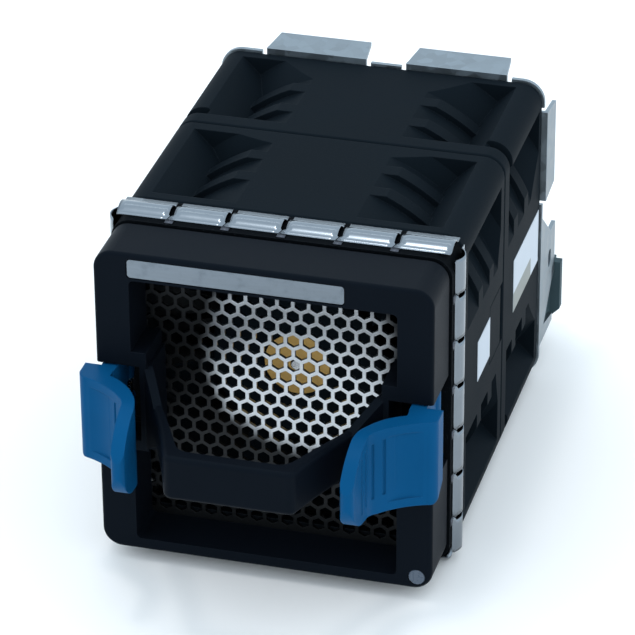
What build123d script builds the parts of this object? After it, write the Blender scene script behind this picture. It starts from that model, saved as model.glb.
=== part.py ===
from build123d import *
import os
from math import ceil, cos, radians, sqrt

# Frame: X to the right, Y from the bezel's front face into the chassis, Z up.
# The origin is on the bay floor, on the centre plane, under the bezel's front face.

# Fan bodies
FAN_SIZE = 80.0
FAN_DEPTH = 40.0
FAN_CORNER_R = 5.0
FAN_EDGE_R = 0.8
SKIN_REACH = 1.4
BORE_WALL = 1.7
DUCT_WALL = 4.1
END_FLANGE = 3.1
SEAM_FLANGE = 3.6
REAR_SEAM_FLANGE = 4.6
POST_WIDTH = 5.8
RIB_RISE = 1.5
RIB_THICK = 4.0
FRONT_RIB_ONE = 0.402
FRONT_RIB_TWO = 0.727
REAR_RIB_ONE = 0.251
REAR_RIB_TWO = 0.594
COLLAR_RISE = 3.8
FRONT_COLLAR = 2.7
REAR_COLLAR = 8.0
SCREW_INSET = 4.25
CORNER_RELIEF_DEPTH = 3.2
CORNER_RELIEF_REACH = 7.0

# Motors and impellers
HUB_R = 21.0
HUB_WALL = 1.5
HUB_CAP = 1.5
HUB_FACE_DEPTH = 2.5
HUB_BASE_GAP = 4.9
CUP_WALL = 1.2
CUP_INSET = 1.0
PRESS_GAP = 0.05
MAGNET_THICK = 2.2
MAGNET_END_GAP = 2.9
MAGNET_BACK_GAP = 2.4
AIR_GAP = 0.4
STATOR_INSET = 1.0
STATOR_TEETH = 12
STATOR_NECK_W = 2.2
STATOR_CORE_R = 7.6
STATOR_SHOE = 1.4
STATOR_SHOE_W = 6.8
WINDING_OVERHANG = 1.2
WINDING_THICK = 1.2
WINDING_CORE_GAP = 2.4
WINDING_SHOE_GAP = 0.3
TUBE_OUT_R = 5.0
BEARING_OUT_R = 4.0
BEARING_LENGTH = 4.0
BEARING_RACE = 0.9
BEARING_INSET = 0.5
BEARING_END_GAP = 1.5
SHIELD_DEPTH = 0.3
SHAFT_R = 1.5
SHAFT_FIT = 0.03
SHAFT_PROUD = 0.6
CLIP_R = 2.6
CLIP_THICK = 0.5
CLIP_GAP = 0.2
CLIP_MOUTH = 1.8
SHAFT_GROOVE = 0.3
SHAFT_TAIL = 0.6
SHAFT_CHAMFER = 0.3
BOSS_R = 7.8
BOSS_NECK_R = 4.0
BOSS_NECK_DEPTH = 2.4
BOARD_THICK = 1.2
BOARD_INSET = 4.5
BOARD_FIT = 0.2
CHIP_SIZE = 3.0
CHIP_HEIGHT = 0.8
CHIP_INSET = 4.0
CHIPS = 6
BASE_THICK = 2.0
BASE_GAP = 1.2
BASE_BACK_GAP = 3.0
BASE_INSET = 0.4
STRUT_COUNT = 11
STRUT_THICK = 1.7
STRUT_LEAN = 24.0
STRUT_ROOT = 2.0
STRUT_INSET = 0.4
STRUT_SEAM_GAP = 0.8
FRONT_BLADES = 7
REAR_BLADES = 5
BLADE_TIP_GAP = 0.7
BLADE_THICK = 1.5
BLADE_HUB_CHORD = 12.5
BLADE_TIP_CHORD = 25.0
BLADE_SWEEP = 5.0
BLADE_CAMBER = 2.6
BLADE_INSET = 1.4
BLADE_FLATTEN = 0.3

# Bezel
BEZEL_SIDE_STEP = 0.8
BEZEL_TOP_STEP = 1.25
BEZEL_DEPTH = 14.0
BEZEL_RISE = 0.6
BEZEL_CORNER_R = 4.5
BEZEL_EDGE_R = 0.9
WINDOW_SIDE_RAIL = 8.3
WINDOW_TOP_RAIL = 6.7
WINDOW_BOTTOM_RAIL = 3.0
WINDOW_CORNER_R = 1.2
WAIST_WALL = 1.6
SIDE_WALL = 2.0
REBATE_SIDE_WALL = 2.9
REBATE_TOP_WALL = 1.65
NAMEPLATE_LEFT_INSET = 8.0
NAMEPLATE_RIGHT_INSET = 20.4
NAMEPLATE_HEIGHT = 4.5
NAMEPLATE_R = 0.8
NAMEPLATE_THICK = 0.4
NAMEPLATE_DROP = 3.7
NAMEPLATE_RECESS = 0.55
NAMEPLATE_GAP = 0.25
LIGHT_PIPE_R = 2.0
LIGHT_PIPE_FIT = 0.06
LIGHT_PIPE_INSET = 3.6
LIGHT_PIPE_RISE = 3.1
LIGHT_PIPE_PAST = 3.0
LIGHT_PIPE_CHAMFER = 0.25
CAVITY_END = 2.2

# Front grille
GRILLE_THICK = 0.8
GRILLE_INSET = 2.0
HEX_PITCH = 3.68
HEX_FLAT = 2.8
HEX_RISE = 2.1
GRILLE_BORDER = 2.0
SHEET_FIT = 0.3

# Pull handle
HANDLE_REACH = 28.5
HANDLE_BAR_HALF = 14.8
HANDLE_HEIGHT = 10.9
HANDLE_BAR_THICK = 3.4
HANDLE_ARM_THICK = 2.4
HANDLE_BOW = 1.1
HANDLE_EDGE_R = 1.2
HANDLE_CORNER_R = 2.2
HANDLE_INNER_R = 4.0
HANDLE_KNEE_Y = 2.0
FLARE_START_Y = 1.0
FLARE_REACH = 8.6
FLARE_STEP = 0.5

# Latches
LATCH_HEIGHT = 21.2
LATCH_DROP = 0.9
LATCH_PROUD = 2.4
LATCH_REACH = 26.6
LATCH_TIP_INSET = 14.6
LATCH_TIP_THICK = 3.2
LATCH_TIP_LENGTH = 9.6
LATCH_TIP_FLARE = 0.4
LATCH_NOSE = 1.2
LATCH_ROOT_WIDTH = 7.2
LATCH_ROOT_DEPTH = 4.6
LATCH_SHOULDER = 2.1
LATCH_SHOULDER_BOW = 0.5
LATCH_KNEE_INSET = 9.6
LATCH_KNEE_BACK = 13.4
LATCH_KNEE_THICK = 2.35
LATCH_WEB_BOW = 0.75
LATCH_BEND_BOW = 0.45
LATCH_TOP_LENGTH = 13.0
LATCH_LOW_LENGTH = 20.0
LATCH_LOW_RISE = 1.2
LATCH_TIP_RISE = 1.5
LATCH_TIP_BOW = 2.5
LATCH_HEEL_LENGTH = 6.0
LATCH_HEEL_RISE = 0.9
LATCH_SHANK_THICK = 3.6
LATCH_FIT = 0.4
LATCH_FACE_GAP = 0.45
LATCH_SILL = 2.2
LATCH_PIVOT_INSET = 3.2
LATCH_PIVOT_DEPTH = 4.2
LATCH_BARREL_R = 2.5
LATCH_GROOVES = 5
LATCH_GROOVE_R = 0.4
LATCH_GROOVE_MARGIN = 3.5
LATCH_GROOVE_START = 7.0
LATCH_GROOVE_END = 5.76
LATCH_GROOVE_RISE = 1.3
LATCH_GROOVE_FALL = 0.33
LATCH_HOLLOW_START = 0.8
LATCH_HOLLOW_END = 9.2
LATCH_HOLLOW_DEPTH = 0.8
LATCH_HOLLOW_MARGIN = 2.2
LATCH_ROOM = 4.5
WAIST_RISE = 3.7
PIN_R = 1.0
PIN_FIT = 0.05
PIN_END_GRIP = 1.8
KNUCKLE_ROOM = 1.2
SPRING_WIRE_R = 0.3
SPRING_COIL_R = 1.75
SPRING_TURNS = 5
SPRING_SEAT = 5.0
SPRING_COIL_GAP = 0.12
SPRING_SIDE_GAP = 0.6

# Gasket carrier and finger strips
CARRIER_STEP = 0.3
CARRIER_WALL = 1.4
CARRIER_GAP = 1.0
CARRIER_DEPTH = 10.5
CARRIER_LIP = 1.2
CARRIER_RIM = 6.7
CARRIER_INNER_R = 2.0
CARRIER_HOLE_STEP = 0.5
STRIP_THICK = 0.3
STRIP_END_GAP_WIDE = 0.8
STRIP_END_GAP_TALL = 1.3
STRIP_BAND = 1.9
STRIP_BACK_GAP = 0.3
STRIP_FOOT = 0.7
STRIP_FRONT_LINK = 2.2
SLIT_WIDTH = 1.25
SLITS_WIDE = 5
END_FINGER_WIDE = 12.7
SLITS_TALL = 6
END_FINGER_TALL = 9.225
HOOK_WIDTH = 2.0
HOOK_HEIGHT = 1.4

# Rear plate, tabs and connector
REAR_PLATE_THICK = 1.0
REAR_PLATE_MARGIN = 0.5
REAR_HOLE_STEP = 0.3
TAB_LENGTH = 9.5
TAB_TAPER = 1.1
TAB_LEFT_INSET = 11.6
TAB_RIGHT_INSET = 9.4
TAB_SPACE = 10.0
TAB_SPACE_X = 1.1
SIDE_TAB_WIDTH = 24.0
SIDE_TAB_INSET = 8.0
TAB_RELIEF = 1.2
TAB_RELIEF_DEPTH = 1.6
SCREW_HEAD_R = 2.5
SCREW_HEAD_H = 1.6
SCREW_R = 1.5
SCREW_HOLE_FIT = 0.2
SCREW_EDGE_SHARE = 0.45
SCREW_LENGTH = 9.0
SCREW_RECESS_R = 1.1
SCREW_RECESS_DEPTH = 0.9
RIVET_R = 1.2
RIVET_HEAD_R = 2.0
RIVET_HEAD_H = 0.8
RIVETS = 2
RIVET_PITCH = 6.5
BRACKET_THICK = 1.0
BRACKET_REACH = 15.5
BRACKET_TOP_Z = 36.0
BRACKET_ROOT_Z = 44.5
BRACKET_TOP_FLAT = 5.5
BRACKET_BOTTOM_Z = 8.6
BRACKET_SHELF_WIDTH = 17.0
BRACKET_SHELF_END = 1.5
BRACKET_LIP = 1.8
BRACKET_LOW_EDGE_Z = 12.5
BRACKET_NOTCH_START = 4.0
BRACKET_NOTCH_RISE = 8.0
BRACKET_NOTCH_STEP = 3.0
BRACKET_FOOT_WIDTH = 6.0
BRACKET_FOOT_TOP_Z = 24.0
BRACKET_HOLE_R = 1.6
BRACKET_HOLE_HEIGHT = 4.8
BRACKET_HOLE_Z = 28.5
BRACKET_HOLE_BACK = 6.0
CONNECTOR_BODY_W = 12.0
CONNECTOR_BODY_H = 12.6
CONNECTOR_BODY_L = 18.0
CONNECTOR_WALL = 1.2
CONNECTOR_FLANGE_H = 15.2
CONNECTOR_FLANGE_T = 2.4
CONNECTOR_FLANGE_IN = 1.0
CONNECTOR_FLANGE_OUT = 1.6
CONNECTOR_FLANGE_DROP = 0.6
CONNECTOR_CHAMFER = 2.0
CONNECTOR_START_GAP = 5.0
CONTACT_ROWS = 4
CONTACT_COLUMNS = 2
CONTACT_PITCH = 2.6
CONTACT_COLUMN_PITCH = 3.6
CONTACT_SIZE = 0.8
CONTACT_PROUD = 5.5
CONTACT_INSET = 0.5
CONTACT_SHORT = 0.8

# Cover and labels
COVER_LENGTH = 10.6
COVER_HEIGHT = 15.0
COVER_THICK = 0.9
COVER_BACK_GAP = 2.9
LABEL_THICK = 0.12
LABEL_BIG_END = 2.0
LABEL_BIG_HEIGHT = 14.0
LABEL_BIG_START = 11.0
LABEL_SMALL_END = 13.8
LABEL_SMALL_HEIGHT = 10.4
LABEL_SMALL_START = 14.0

# Nearness within which two places count as the same
NEAR = 0.01

# Derived places
FAN_HALF = FAN_SIZE / 2
FAN_Z = SKIN_REACH + FAN_HALF
CARRIER_FRONT_Y = BEZEL_DEPTH + CARRIER_GAP
FAN_FRONT_Y = CARRIER_FRONT_Y + CARRIER_DEPTH
SEAM_Y = FAN_FRONT_Y + FAN_DEPTH
FAN_REAR_Y = SEAM_Y + FAN_DEPTH
REACH = FAN_HALF + SKIN_REACH
BORE_R = FAN_HALF - BORE_WALL
DUCT_R = BORE_R + DUCT_WALL
RIB_R = DUCT_R + RIB_RISE
COLLAR_R = DUCT_R + COLLAR_RISE
WEB_WIDTH = POST_WIDTH * sqrt(2)
SCREW_HALF = FAN_HALF - SCREW_INSET
CARRIER_SIZE = FAN_SIZE - 2 * CARRIER_STEP
CARRIER_OPENING = CARRIER_SIZE - 2 * CARRIER_RIM
CARRIER_HOLE_R = BORE_R - CARRIER_HOLE_STEP
STRIP_LENGTH_WIDE = CARRIER_SIZE - 2 * STRIP_END_GAP_WIDE
STRIP_LENGTH_TALL = CARRIER_SIZE - 2 * STRIP_END_GAP_TALL
SLIT_PITCH_WIDE = (STRIP_LENGTH_WIDE - 2 * END_FINGER_WIDE) / (SLITS_WIDE - 1)
SLIT_PITCH_TALL = (STRIP_LENGTH_TALL - 2 * END_FINGER_TALL) / (SLITS_TALL - 1)
BEZEL_WIDTH = FAN_SIZE - 2 * BEZEL_SIDE_STEP
BEZEL_HEIGHT = FAN_SIZE - 2 * BEZEL_TOP_STEP
WINDOW_WIDTH = BEZEL_WIDTH - 2 * WINDOW_SIDE_RAIL
REBATE_WIDTH = BEZEL_WIDTH - 2 * REBATE_SIDE_WALL
REBATE_HEIGHT = BEZEL_HEIGHT - 2 * REBATE_TOP_WALL
NAMEPLATE_WIDTH = BEZEL_WIDTH - NAMEPLATE_LEFT_INSET - NAMEPLATE_RIGHT_INSET
NAMEPLATE_SHIFT = (NAMEPLATE_LEFT_INSET - NAMEPLATE_RIGHT_INSET) / 2
BEZEL_Z = FAN_Z + BEZEL_RISE
BEZEL_HALF = BEZEL_WIDTH / 2
BEZEL_TOP = BEZEL_Z + BEZEL_HEIGHT / 2
BEZEL_LOW = BEZEL_Z - BEZEL_HEIGHT / 2
WINDOW_TOP = BEZEL_TOP - WINDOW_TOP_RAIL
WINDOW_LOW = BEZEL_LOW + WINDOW_BOTTOM_RAIL
WINDOW_HALF = WINDOW_WIDTH / 2
LATCH_Z = BEZEL_Z - LATCH_DROP
LATCH_TOP = LATCH_Z + LATCH_HEIGHT / 2
LATCH_LOW = LATCH_Z - LATCH_HEIGHT / 2
SLOT_TOP = LATCH_TOP + LATCH_FIT
SLOT_LOW = LATCH_LOW - LATCH_FIT
SILL_Z = LATCH_LOW + LATCH_SILL
PIVOT_X = BEZEL_HALF - LATCH_PIVOT_INSET
SLOT_INNER_X = PIVOT_X - LATCH_BARREL_R - LATCH_ROOM
LATCH_TIP_IN = BEZEL_HALF - LATCH_TIP_INSET
LATCH_KNEE_X = BEZEL_HALF - LATCH_KNEE_INSET
LATCH_KNEE_Y = LATCH_REACH - LATCH_KNEE_BACK
LATCH_PIVOT_Y = BEZEL_DEPTH - LATCH_PIVOT_DEPTH
WAIST_TOP = SLOT_TOP + WAIST_RISE
WAIST_LOW = SLOT_LOW
WAIST_HALF = SLOT_INNER_X - WAIST_WALL
HANDLE_ROOT_X = SLOT_INNER_X
GRILLE_Y = BEZEL_DEPTH - GRILLE_INSET
GRILLE_BACK = GRILLE_Y + GRILLE_THICK
LIGHT_PIPE_LENGTH = CARRIER_FRONT_Y + LIGHT_PIPE_PAST
REAR_PLATE_Y = FAN_REAR_Y + REAR_PLATE_THICK
ROTOR_TIP_R = BORE_R - BLADE_TIP_GAP
HUB_FACE_Y = FAN_FRONT_Y + HUB_FACE_DEPTH
BASE_Y = SEAM_Y - SEAM_FLANGE - BASE_THICK - BASE_BACK_GAP
BASE_R = HUB_R - BASE_INSET
BOARD_R = HUB_R - BOARD_INSET
HUB_LENGTH = BASE_Y - HUB_BASE_GAP - HUB_FACE_Y
MAGNET_LENGTH = HUB_LENGTH - HUB_CAP - CUP_WALL - MAGNET_BACK_GAP - CUP_INSET - MAGNET_END_GAP
STATOR_LENGTH = MAGNET_LENGTH - 2 * STATOR_INSET
PLATE_HALF = FAN_HALF + REAR_PLATE_MARGIN
REAR_PLATE_CORNER_R = FAN_CORNER_R + REAR_PLATE_MARGIN
REAR_HOLE_R = BORE_R - REAR_HOLE_STEP
LABEL_BIG_LENGTH = FAN_DEPTH - LABEL_BIG_START - LABEL_BIG_END
LABEL_SMALL_LENGTH = FAN_DEPTH - LABEL_SMALL_START - LABEL_SMALL_END


def block(x0, x1, y0, y1, z0, z1):
    """Box between two opposite corners."""
    centre = Pos((x0 + x1) / 2, (y0 + y1) / 2, (z0 + z1) / 2)
    return centre * Box(abs(x1 - x0), abs(y1 - y0), abs(z1 - z0))


def rod(radius, y0, y1, x=0.0, z=FAN_Z):
    """Cylinder along Y."""
    return Pos(x, (y0 + y1) / 2, z) * Rot(90, 0, 0) * Cylinder(radius, y1 - y0)


def tube(outer, inner, y0, y1, x=0.0, z=FAN_Z):
    """Hollow cylinder along Y."""
    return rod(outer, y0, y1, x, z) - rod(inner, y0 - 1, y1 + 1, x, z)


def slab_front(sketch, y0, y1):
    """Sketch drawn as seen from the front, X across and Z up, made thick along Y."""
    return extrude(Plane.XZ.offset(-y1) * sketch, y1 - y0)


def slab_flat(sketch, z0, z1):
    """Sketch drawn in plan, X across and Y back, made thick along Z."""
    return extrude(Pos(0, 0, z0) * sketch, z1 - z0)


def slab_side(sketch, x0, x1):
    """Sketch drawn from the side, Y across and Z up, made thick along X."""
    return extrude(Plane.YZ.offset(x0) * sketch, x1 - x0)


def outline(*points):
    """Closed straight-sided face."""
    return make_face(Polyline(*points, close=True))


def bowed(start, end, bow):
    """Arc from start to end whose middle stands off to the left of the way by bow."""
    across, up = end[0] - start[0], end[1] - start[1]
    length = sqrt(across * across + up * up)
    middle = ((start[0] + end[0]) / 2 - up / length * bow, (start[1] + end[1]) / 2 + across / length * bow)
    return ThreePointArc(start, middle, end)


def corners(half_x, half_z, centre_z=FAN_Z):
    """Four points placed alike about the centre line."""
    return [(sx * half_x, centre_z + sz * half_z) for sx in (-1, 1) for sz in (-1, 1)]


def fan_shell(y0, y1, flange_front, flange_rear, rib_shares, collar):
    """Square fan body with a round duct, a diagonal web at each corner and ribbed pockets between them."""
    body = slab_front(Pos(0, FAN_Z) * RectangleRounded(FAN_SIZE, FAN_SIZE, FAN_CORNER_R), y0, y1)
    rims = [edge for edge in body.edges() if min(edge.center().Y - y0, y1 - edge.center().Y) < NEAR]
    body = fillet(rims, FAN_EDGE_R)
    body -= rod(BORE_R, y0 - 1, y1 + 1)
    whole = Rectangle(2 * FAN_SIZE, 2 * FAN_SIZE)
    front, rear = y0 + flange_front, y1 - flange_rear
    pocket = slab_front(Pos(0, FAN_Z) * whole, front, rear)
    pocket -= rod(DUCT_R, y0, y1)
    for turn in (-45, 45):
        pocket -= Pos(0, (y0 + y1) / 2, FAN_Z) * Rot(0, turn, 0) * Box(2 * FAN_SIZE, y1 - y0, WEB_WIDTH)
    for share in rib_shares:
        rib_y = front + (rear - front) * share
        pocket -= rod(RIB_R, rib_y - RIB_THICK / 2, rib_y + RIB_THICK / 2)
    pocket -= Pos(0, rear - collar / 2, FAN_Z) * Rot(90, 0, 0) * Cone(COLLAR_R, DUCT_R, collar)
    body -= pocket
    for x, z in corners(SCREW_HALF, SCREW_HALF):
        body -= rod(SCREW_R + SCREW_HOLE_FIT, y0 - 1, y1 + 1, x, z)
    return body


def motor_base(turn):
    """Disc that carries the motor, held in the duct by leaning vanes."""
    base = tube(BASE_R, TUBE_OUT_R, BASE_Y, BASE_Y + BASE_THICK)
    start = BASE_Y + STRUT_INSET
    end = SEAM_Y - STRUT_SEAM_GAP
    length = (end - start) / cos(radians(STRUT_LEAN)) - STRUT_THICK
    inner = BASE_R - STRUT_ROOT
    outer = (BORE_R + FAN_HALF) / 2
    for index in range(STRUT_COUNT):
        vane = Rot(STRUT_LEAN, 0, 0) * Box(outer - inner, length, STRUT_THICK)
        vane = Pos((inner + outer) / 2, 0, 0) * vane
        base += Pos(0, (start + end) / 2, FAN_Z) * Rot(0, 360 / STRUT_COUNT * index + turn, 0) * vane
    return base


def front_fan_frame():
    """Front fan body with its motor base."""
    ribs = (FRONT_RIB_ONE, FRONT_RIB_TWO)
    body = fan_shell(FAN_FRONT_Y, SEAM_Y, END_FLANGE, SEAM_FLANGE, ribs, FRONT_COLLAR)
    body += motor_base(0)
    return body - cover_recess()


def rear_fan_frame():
    """Rear fan body, back to back with the front one."""
    ribs = (REAR_RIB_ONE, REAR_RIB_TWO)
    body = fan_shell(SEAM_Y, FAN_REAR_Y, REAR_SEAM_FLANGE, END_FLANGE, ribs, REAR_COLLAR)
    body += to_rear(motor_base(180 / STRUT_COUNT))
    side = CORNER_RELIEF_REACH * sqrt(2)
    for x, z in corners(FAN_HALF, FAN_HALF):
        relief = Pos(x, SEAM_Y + REAR_SEAM_FLANGE + CORNER_RELIEF_DEPTH / 2, z) * Rot(0, 45, 0)
        body -= relief * Box(side, CORNER_RELIEF_DEPTH, side)
    return body


def to_rear(shape):
    """Same piece in the rear fan, mirrored about the seam."""
    return mirror(shape, about=Plane.XZ.offset(-SEAM_Y))


def cover_recess():
    """Shallow seat for the side cover, open at the seam between the fans."""
    half = COVER_HEIGHT / 2 + SHEET_FIT
    start = SEAM_Y - COVER_BACK_GAP - COVER_LENGTH - SHEET_FIT
    return block(FAN_HALF - COVER_THICK, FAN_HALF + 1, start, SEAM_Y + 1, FAN_Z - half, FAN_Z + half)


def side_cover():
    """Thin flush cover in the front fan's side, a little short of the seam."""
    end = SEAM_Y - COVER_BACK_GAP
    half = COVER_HEIGHT / 2
    return block(FAN_HALF - COVER_THICK, FAN_HALF, end - COVER_LENGTH, end, FAN_Z - half, FAN_Z + half)


def blade(chord_hub, chord_tip, y0, y1):
    """One twisted blade, thickest in the middle, from the hub to just short of the duct."""
    sections = []
    for share in (0.0, 0.5, 1.0):
        radius = HUB_R - HUB_WALL + (ROTOR_TIP_R + 1 - HUB_R + HUB_WALL) * share
        chord = chord_hub + (chord_tip - chord_hub) * share
        sweep = BLADE_SWEEP * share * share
        half = chord / 2
        middle = (y0 + y1) / 2
        start = (y0 + BLADE_INSET * share, sweep - half)
        end = (y1, sweep + half)
        slope = sqrt((end[0] - start[0]) ** 2 + (end[1] - start[1]) ** 2)
        along = ((end[0] - start[0]) / slope, (end[1] - start[1]) / slope)
        bow = BLADE_CAMBER * (1 - BLADE_FLATTEN * share)
        upper = (middle - along[1] * (bow + BLADE_THICK / 2), sweep + along[0] * (bow + BLADE_THICK / 2))
        lower = (middle - along[1] * (bow - BLADE_THICK / 2), sweep + along[0] * (bow - BLADE_THICK / 2))
        face = make_face(ThreePointArc(start, upper, end) + ThreePointArc(end, lower, start))
        sections.append(Plane.YZ.offset(radius) * face)
    return Pos(0, 0, FAN_Z) * loft(sections)


def impeller(count, turn):
    """Hub with its ring of blades, drawn as the front fan's."""
    rear = HUB_FACE_Y + HUB_LENGTH
    hub = rod(HUB_R, HUB_FACE_Y, rear)
    hub = fillet(hub.edges().filter_by(GeomType.CIRCLE).sort_by(Axis.Y)[0], HUB_CAP)
    hub -= rod(HUB_R - HUB_WALL, HUB_FACE_Y + HUB_CAP, rear + 1)
    hub -= rod(BOSS_R + PRESS_GAP, HUB_FACE_Y - 1, rear)
    one = blade(BLADE_HUB_CHORD, BLADE_TIP_CHORD, HUB_FACE_Y + BLADE_INSET, rear + BLADE_INSET)
    one = one & tube(ROTOR_TIP_R, HUB_R - HUB_WALL / 2, HUB_FACE_Y - 1, rear + 4)
    if turn < 0:
        one = mirror(one, about=Plane.XY.offset(FAN_Z))
    for index in range(count):
        hub += Pos(0, 0, FAN_Z) * Rot(0, 360 / count * index, 0) * Pos(0, 0, -FAN_Z) * one
    return hub


def hub_boss():
    """Brass centre of the hub, which grips the shaft."""
    boss = rod(BOSS_R, HUB_FACE_Y, HUB_FACE_Y + HUB_CAP)
    boss += rod(BOSS_NECK_R, HUB_FACE_Y, HUB_FACE_Y + HUB_CAP + BOSS_NECK_DEPTH)
    return boss - rod(SHAFT_R + PRESS_GAP, HUB_FACE_Y - 1, HUB_FACE_Y + HUB_CAP + BOSS_NECK_DEPTH + 1)


def cup_out_r():
    """Outer radius of the steel rotor cup."""
    return HUB_R - HUB_WALL - PRESS_GAP


def rotor_cup():
    """Steel cup inside the hub, closed by a wall at the hub's face."""
    start = HUB_FACE_Y + HUB_CAP
    end = HUB_FACE_Y + HUB_LENGTH - CUP_INSET
    cup = rod(cup_out_r(), start, end) - rod(cup_out_r() - CUP_WALL, start + CUP_WALL, end + 1)
    return cup - rod(BOSS_NECK_R + PRESS_GAP, start - 1, end)


def magnet_out_r():
    """Outer radius of the magnet ring."""
    return cup_out_r() - CUP_WALL - PRESS_GAP


def stator_out_r():
    """Outer radius of the stator, inside the magnet by the air gap."""
    return magnet_out_r() - MAGNET_THICK - AIR_GAP


def magnet_start():
    """Depth at which the magnet ring starts, behind the cup's closed end."""
    return HUB_FACE_Y + HUB_CAP + CUP_WALL + MAGNET_BACK_GAP


def magnet_ring():
    """Ring magnet inside the rotor cup."""
    outer = magnet_out_r()
    return tube(outer, outer - MAGNET_THICK, magnet_start(), magnet_start() + MAGNET_LENGTH)


def tooth_set(inner, outer, width, y0, y1):
    """Radial blocks, one for each stator tooth."""
    blocks = []
    for index in range(STATOR_TEETH):
        bar = Pos((inner + outer) / 2, (y0 + y1) / 2, 0) * Box(outer - inner, y1 - y0, width)
        blocks.append(Pos(0, 0, FAN_Z) * Rot(0, 360 / STATOR_TEETH * index, 0) * bar)
    return blocks


def stator_y():
    """Start and end of the stator's laminations."""
    start = magnet_start() + (MAGNET_LENGTH - STATOR_LENGTH) / 2
    return start, start + STATOR_LENGTH


def stator():
    """Stack of laminations with one tooth for each coil."""
    y0, y1 = stator_y()
    core = tube(STATOR_CORE_R, TUBE_OUT_R + PRESS_GAP, y0, y1)
    for bar in tooth_set(STATOR_CORE_R - 1, stator_out_r() + 1, STATOR_NECK_W, y0, y1):
        core += bar
    for bar in tooth_set(stator_out_r() - STATOR_SHOE, stator_out_r() + 1, STATOR_SHOE_W, y0, y1):
        core += bar
    return core & rod(stator_out_r(), y0, y1)


def windings():
    """Copper coils round the stator teeth."""
    y0, y1 = stator_y()
    inner = STATOR_CORE_R + WINDING_CORE_GAP
    outer = stator_out_r() - STATOR_SHOE - WINDING_SHOE_GAP
    gap = PRESS_GAP * 2
    holes = tooth_set(inner - 1, outer + 1, STATOR_NECK_W + gap, y0 - gap / 2, y1 + gap / 2)
    width = STATOR_NECK_W + 2 * WINDING_THICK
    coils = tooth_set(inner, outer, width, y0 - WINDING_OVERHANG, y1 + WINDING_OVERHANG)
    return [coil - hole for coil, hole in zip(coils, holes)]


def bearing_tube():
    """Brass tube in the motor base that holds both bearings."""
    start = magnet_start()
    return tube(TUBE_OUT_R - PRESS_GAP, BEARING_OUT_R + PRESS_GAP, start, BASE_Y + BASE_THICK)


def bearing_starts():
    """Depths at which the two bearings start."""
    return magnet_start() + BEARING_INSET, BASE_Y + BASE_THICK - BEARING_LENGTH - BEARING_END_GAP


def bearings():
    """Two ball bearings, each an outer race, an inner race and the shield between."""
    rings = []
    for start in bearing_starts():
        end = start + BEARING_LENGTH
        ring = tube(BEARING_OUT_R, SHAFT_R + SHAFT_FIT, start, end)
        groove_out = BEARING_OUT_R - BEARING_RACE
        groove_in = SHAFT_R + SHAFT_FIT + BEARING_RACE
        for y0, y1 in ((start - 1, start + SHIELD_DEPTH), (end - SHIELD_DEPTH, end + 1)):
            ring -= tube(groove_out, groove_in, y0, y1)
        rings.append(ring)
    return rings


def clip_y():
    """Depth of the ring that keeps the shaft in its bearings."""
    return bearing_starts()[1] + BEARING_LENGTH + CLIP_GAP


def shaft():
    """Steel shaft with a groove for its retaining ring."""
    end = clip_y() + CLIP_THICK + SHAFT_TAIL
    body = rod(SHAFT_R, HUB_FACE_Y - SHAFT_PROUD, end)
    body -= tube(SHAFT_R + 1, SHAFT_R - SHAFT_GROOVE, clip_y(), clip_y() + CLIP_THICK)
    return chamfer(body.edges().filter_by(GeomType.CIRCLE).sort_by(Axis.Y)[0], SHAFT_CHAMFER)


def shaft_clip():
    """Split ring in the shaft's groove."""
    start = clip_y() + PRESS_GAP
    end = clip_y() + CLIP_THICK - PRESS_GAP
    ring = tube(CLIP_R, SHAFT_R - SHAFT_GROOVE + PRESS_GAP, start, end)
    return ring - block(0, CLIP_R + 1, start - 1, end + 1, FAN_Z - CLIP_MOUTH / 2, FAN_Z + CLIP_MOUTH / 2)


def motor_board():
    """Round circuit board on the bearing tube, with a few parts on it."""
    end = BASE_Y - BASE_GAP
    board = tube(BOARD_R, TUBE_OUT_R + BOARD_FIT, end - BOARD_THICK, end)
    for index in range(CHIPS):
        chip = Pos(BOARD_R - CHIP_INSET, 0, 0) * Box(CHIP_SIZE, CHIP_HEIGHT, CHIP_SIZE)
        board += Pos(0, end - BOARD_THICK - CHIP_HEIGHT / 2, FAN_Z) * Rot(0, 360 / CHIPS * index, 0) * chip
    return board


def window_face():
    """Air window: one opening with a narrower waist between the two latch slots."""
    tall = Pos(0, (WINDOW_TOP + WINDOW_LOW) / 2) * RectangleRounded(WINDOW_WIDTH, WINDOW_TOP - WINDOW_LOW,
                                                                   WINDOW_CORNER_R)
    side_width = WINDOW_HALF - WAIST_HALF + 1
    for side in (-1, 1):
        x = side * (WAIST_HALF + side_width / 2)
        tall -= Pos(x, (WAIST_TOP + WAIST_LOW) / 2) * Rectangle(side_width, WAIST_TOP - WAIST_LOW)
    return tall


def handle_outer_arc(side, inset):
    """Side line of the pull handle in plan, bowed slightly towards the centre."""
    root = (HANDLE_ROOT_X - inset, GRILLE_Y)
    knee = (HANDLE_ROOT_X - inset, HANDLE_KNEE_Y)
    tip = (HANDLE_BAR_HALF - inset, -HANDLE_REACH)
    bow_x = (knee[0] + tip[0]) / 2 - HANDLE_BOW
    bow_y = (knee[1] + tip[1]) / 2
    return [(side * x, y) for x, y in (root, knee, (bow_x, bow_y), tip)]


def handle_face(inset, front, root_y):
    """Plan of the handle's outer shape, shrunk by a wall for its finger space."""
    right = handle_outer_arc(1, inset)
    left = handle_outer_arc(-1, inset)
    tip_r = (right[3][0], front)
    tip_l = (left[3][0], front)
    lines = [Line((right[0][0], root_y), right[1]), ThreePointArc(right[1], right[2], tip_r),
             Line(tip_r, tip_l), ThreePointArc(tip_l, left[2], left[1]),
             Line(left[1], (left[0][0], root_y)), Line((left[0][0], root_y), (right[0][0], root_y))]
    return make_face(Wire(lines))


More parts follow.
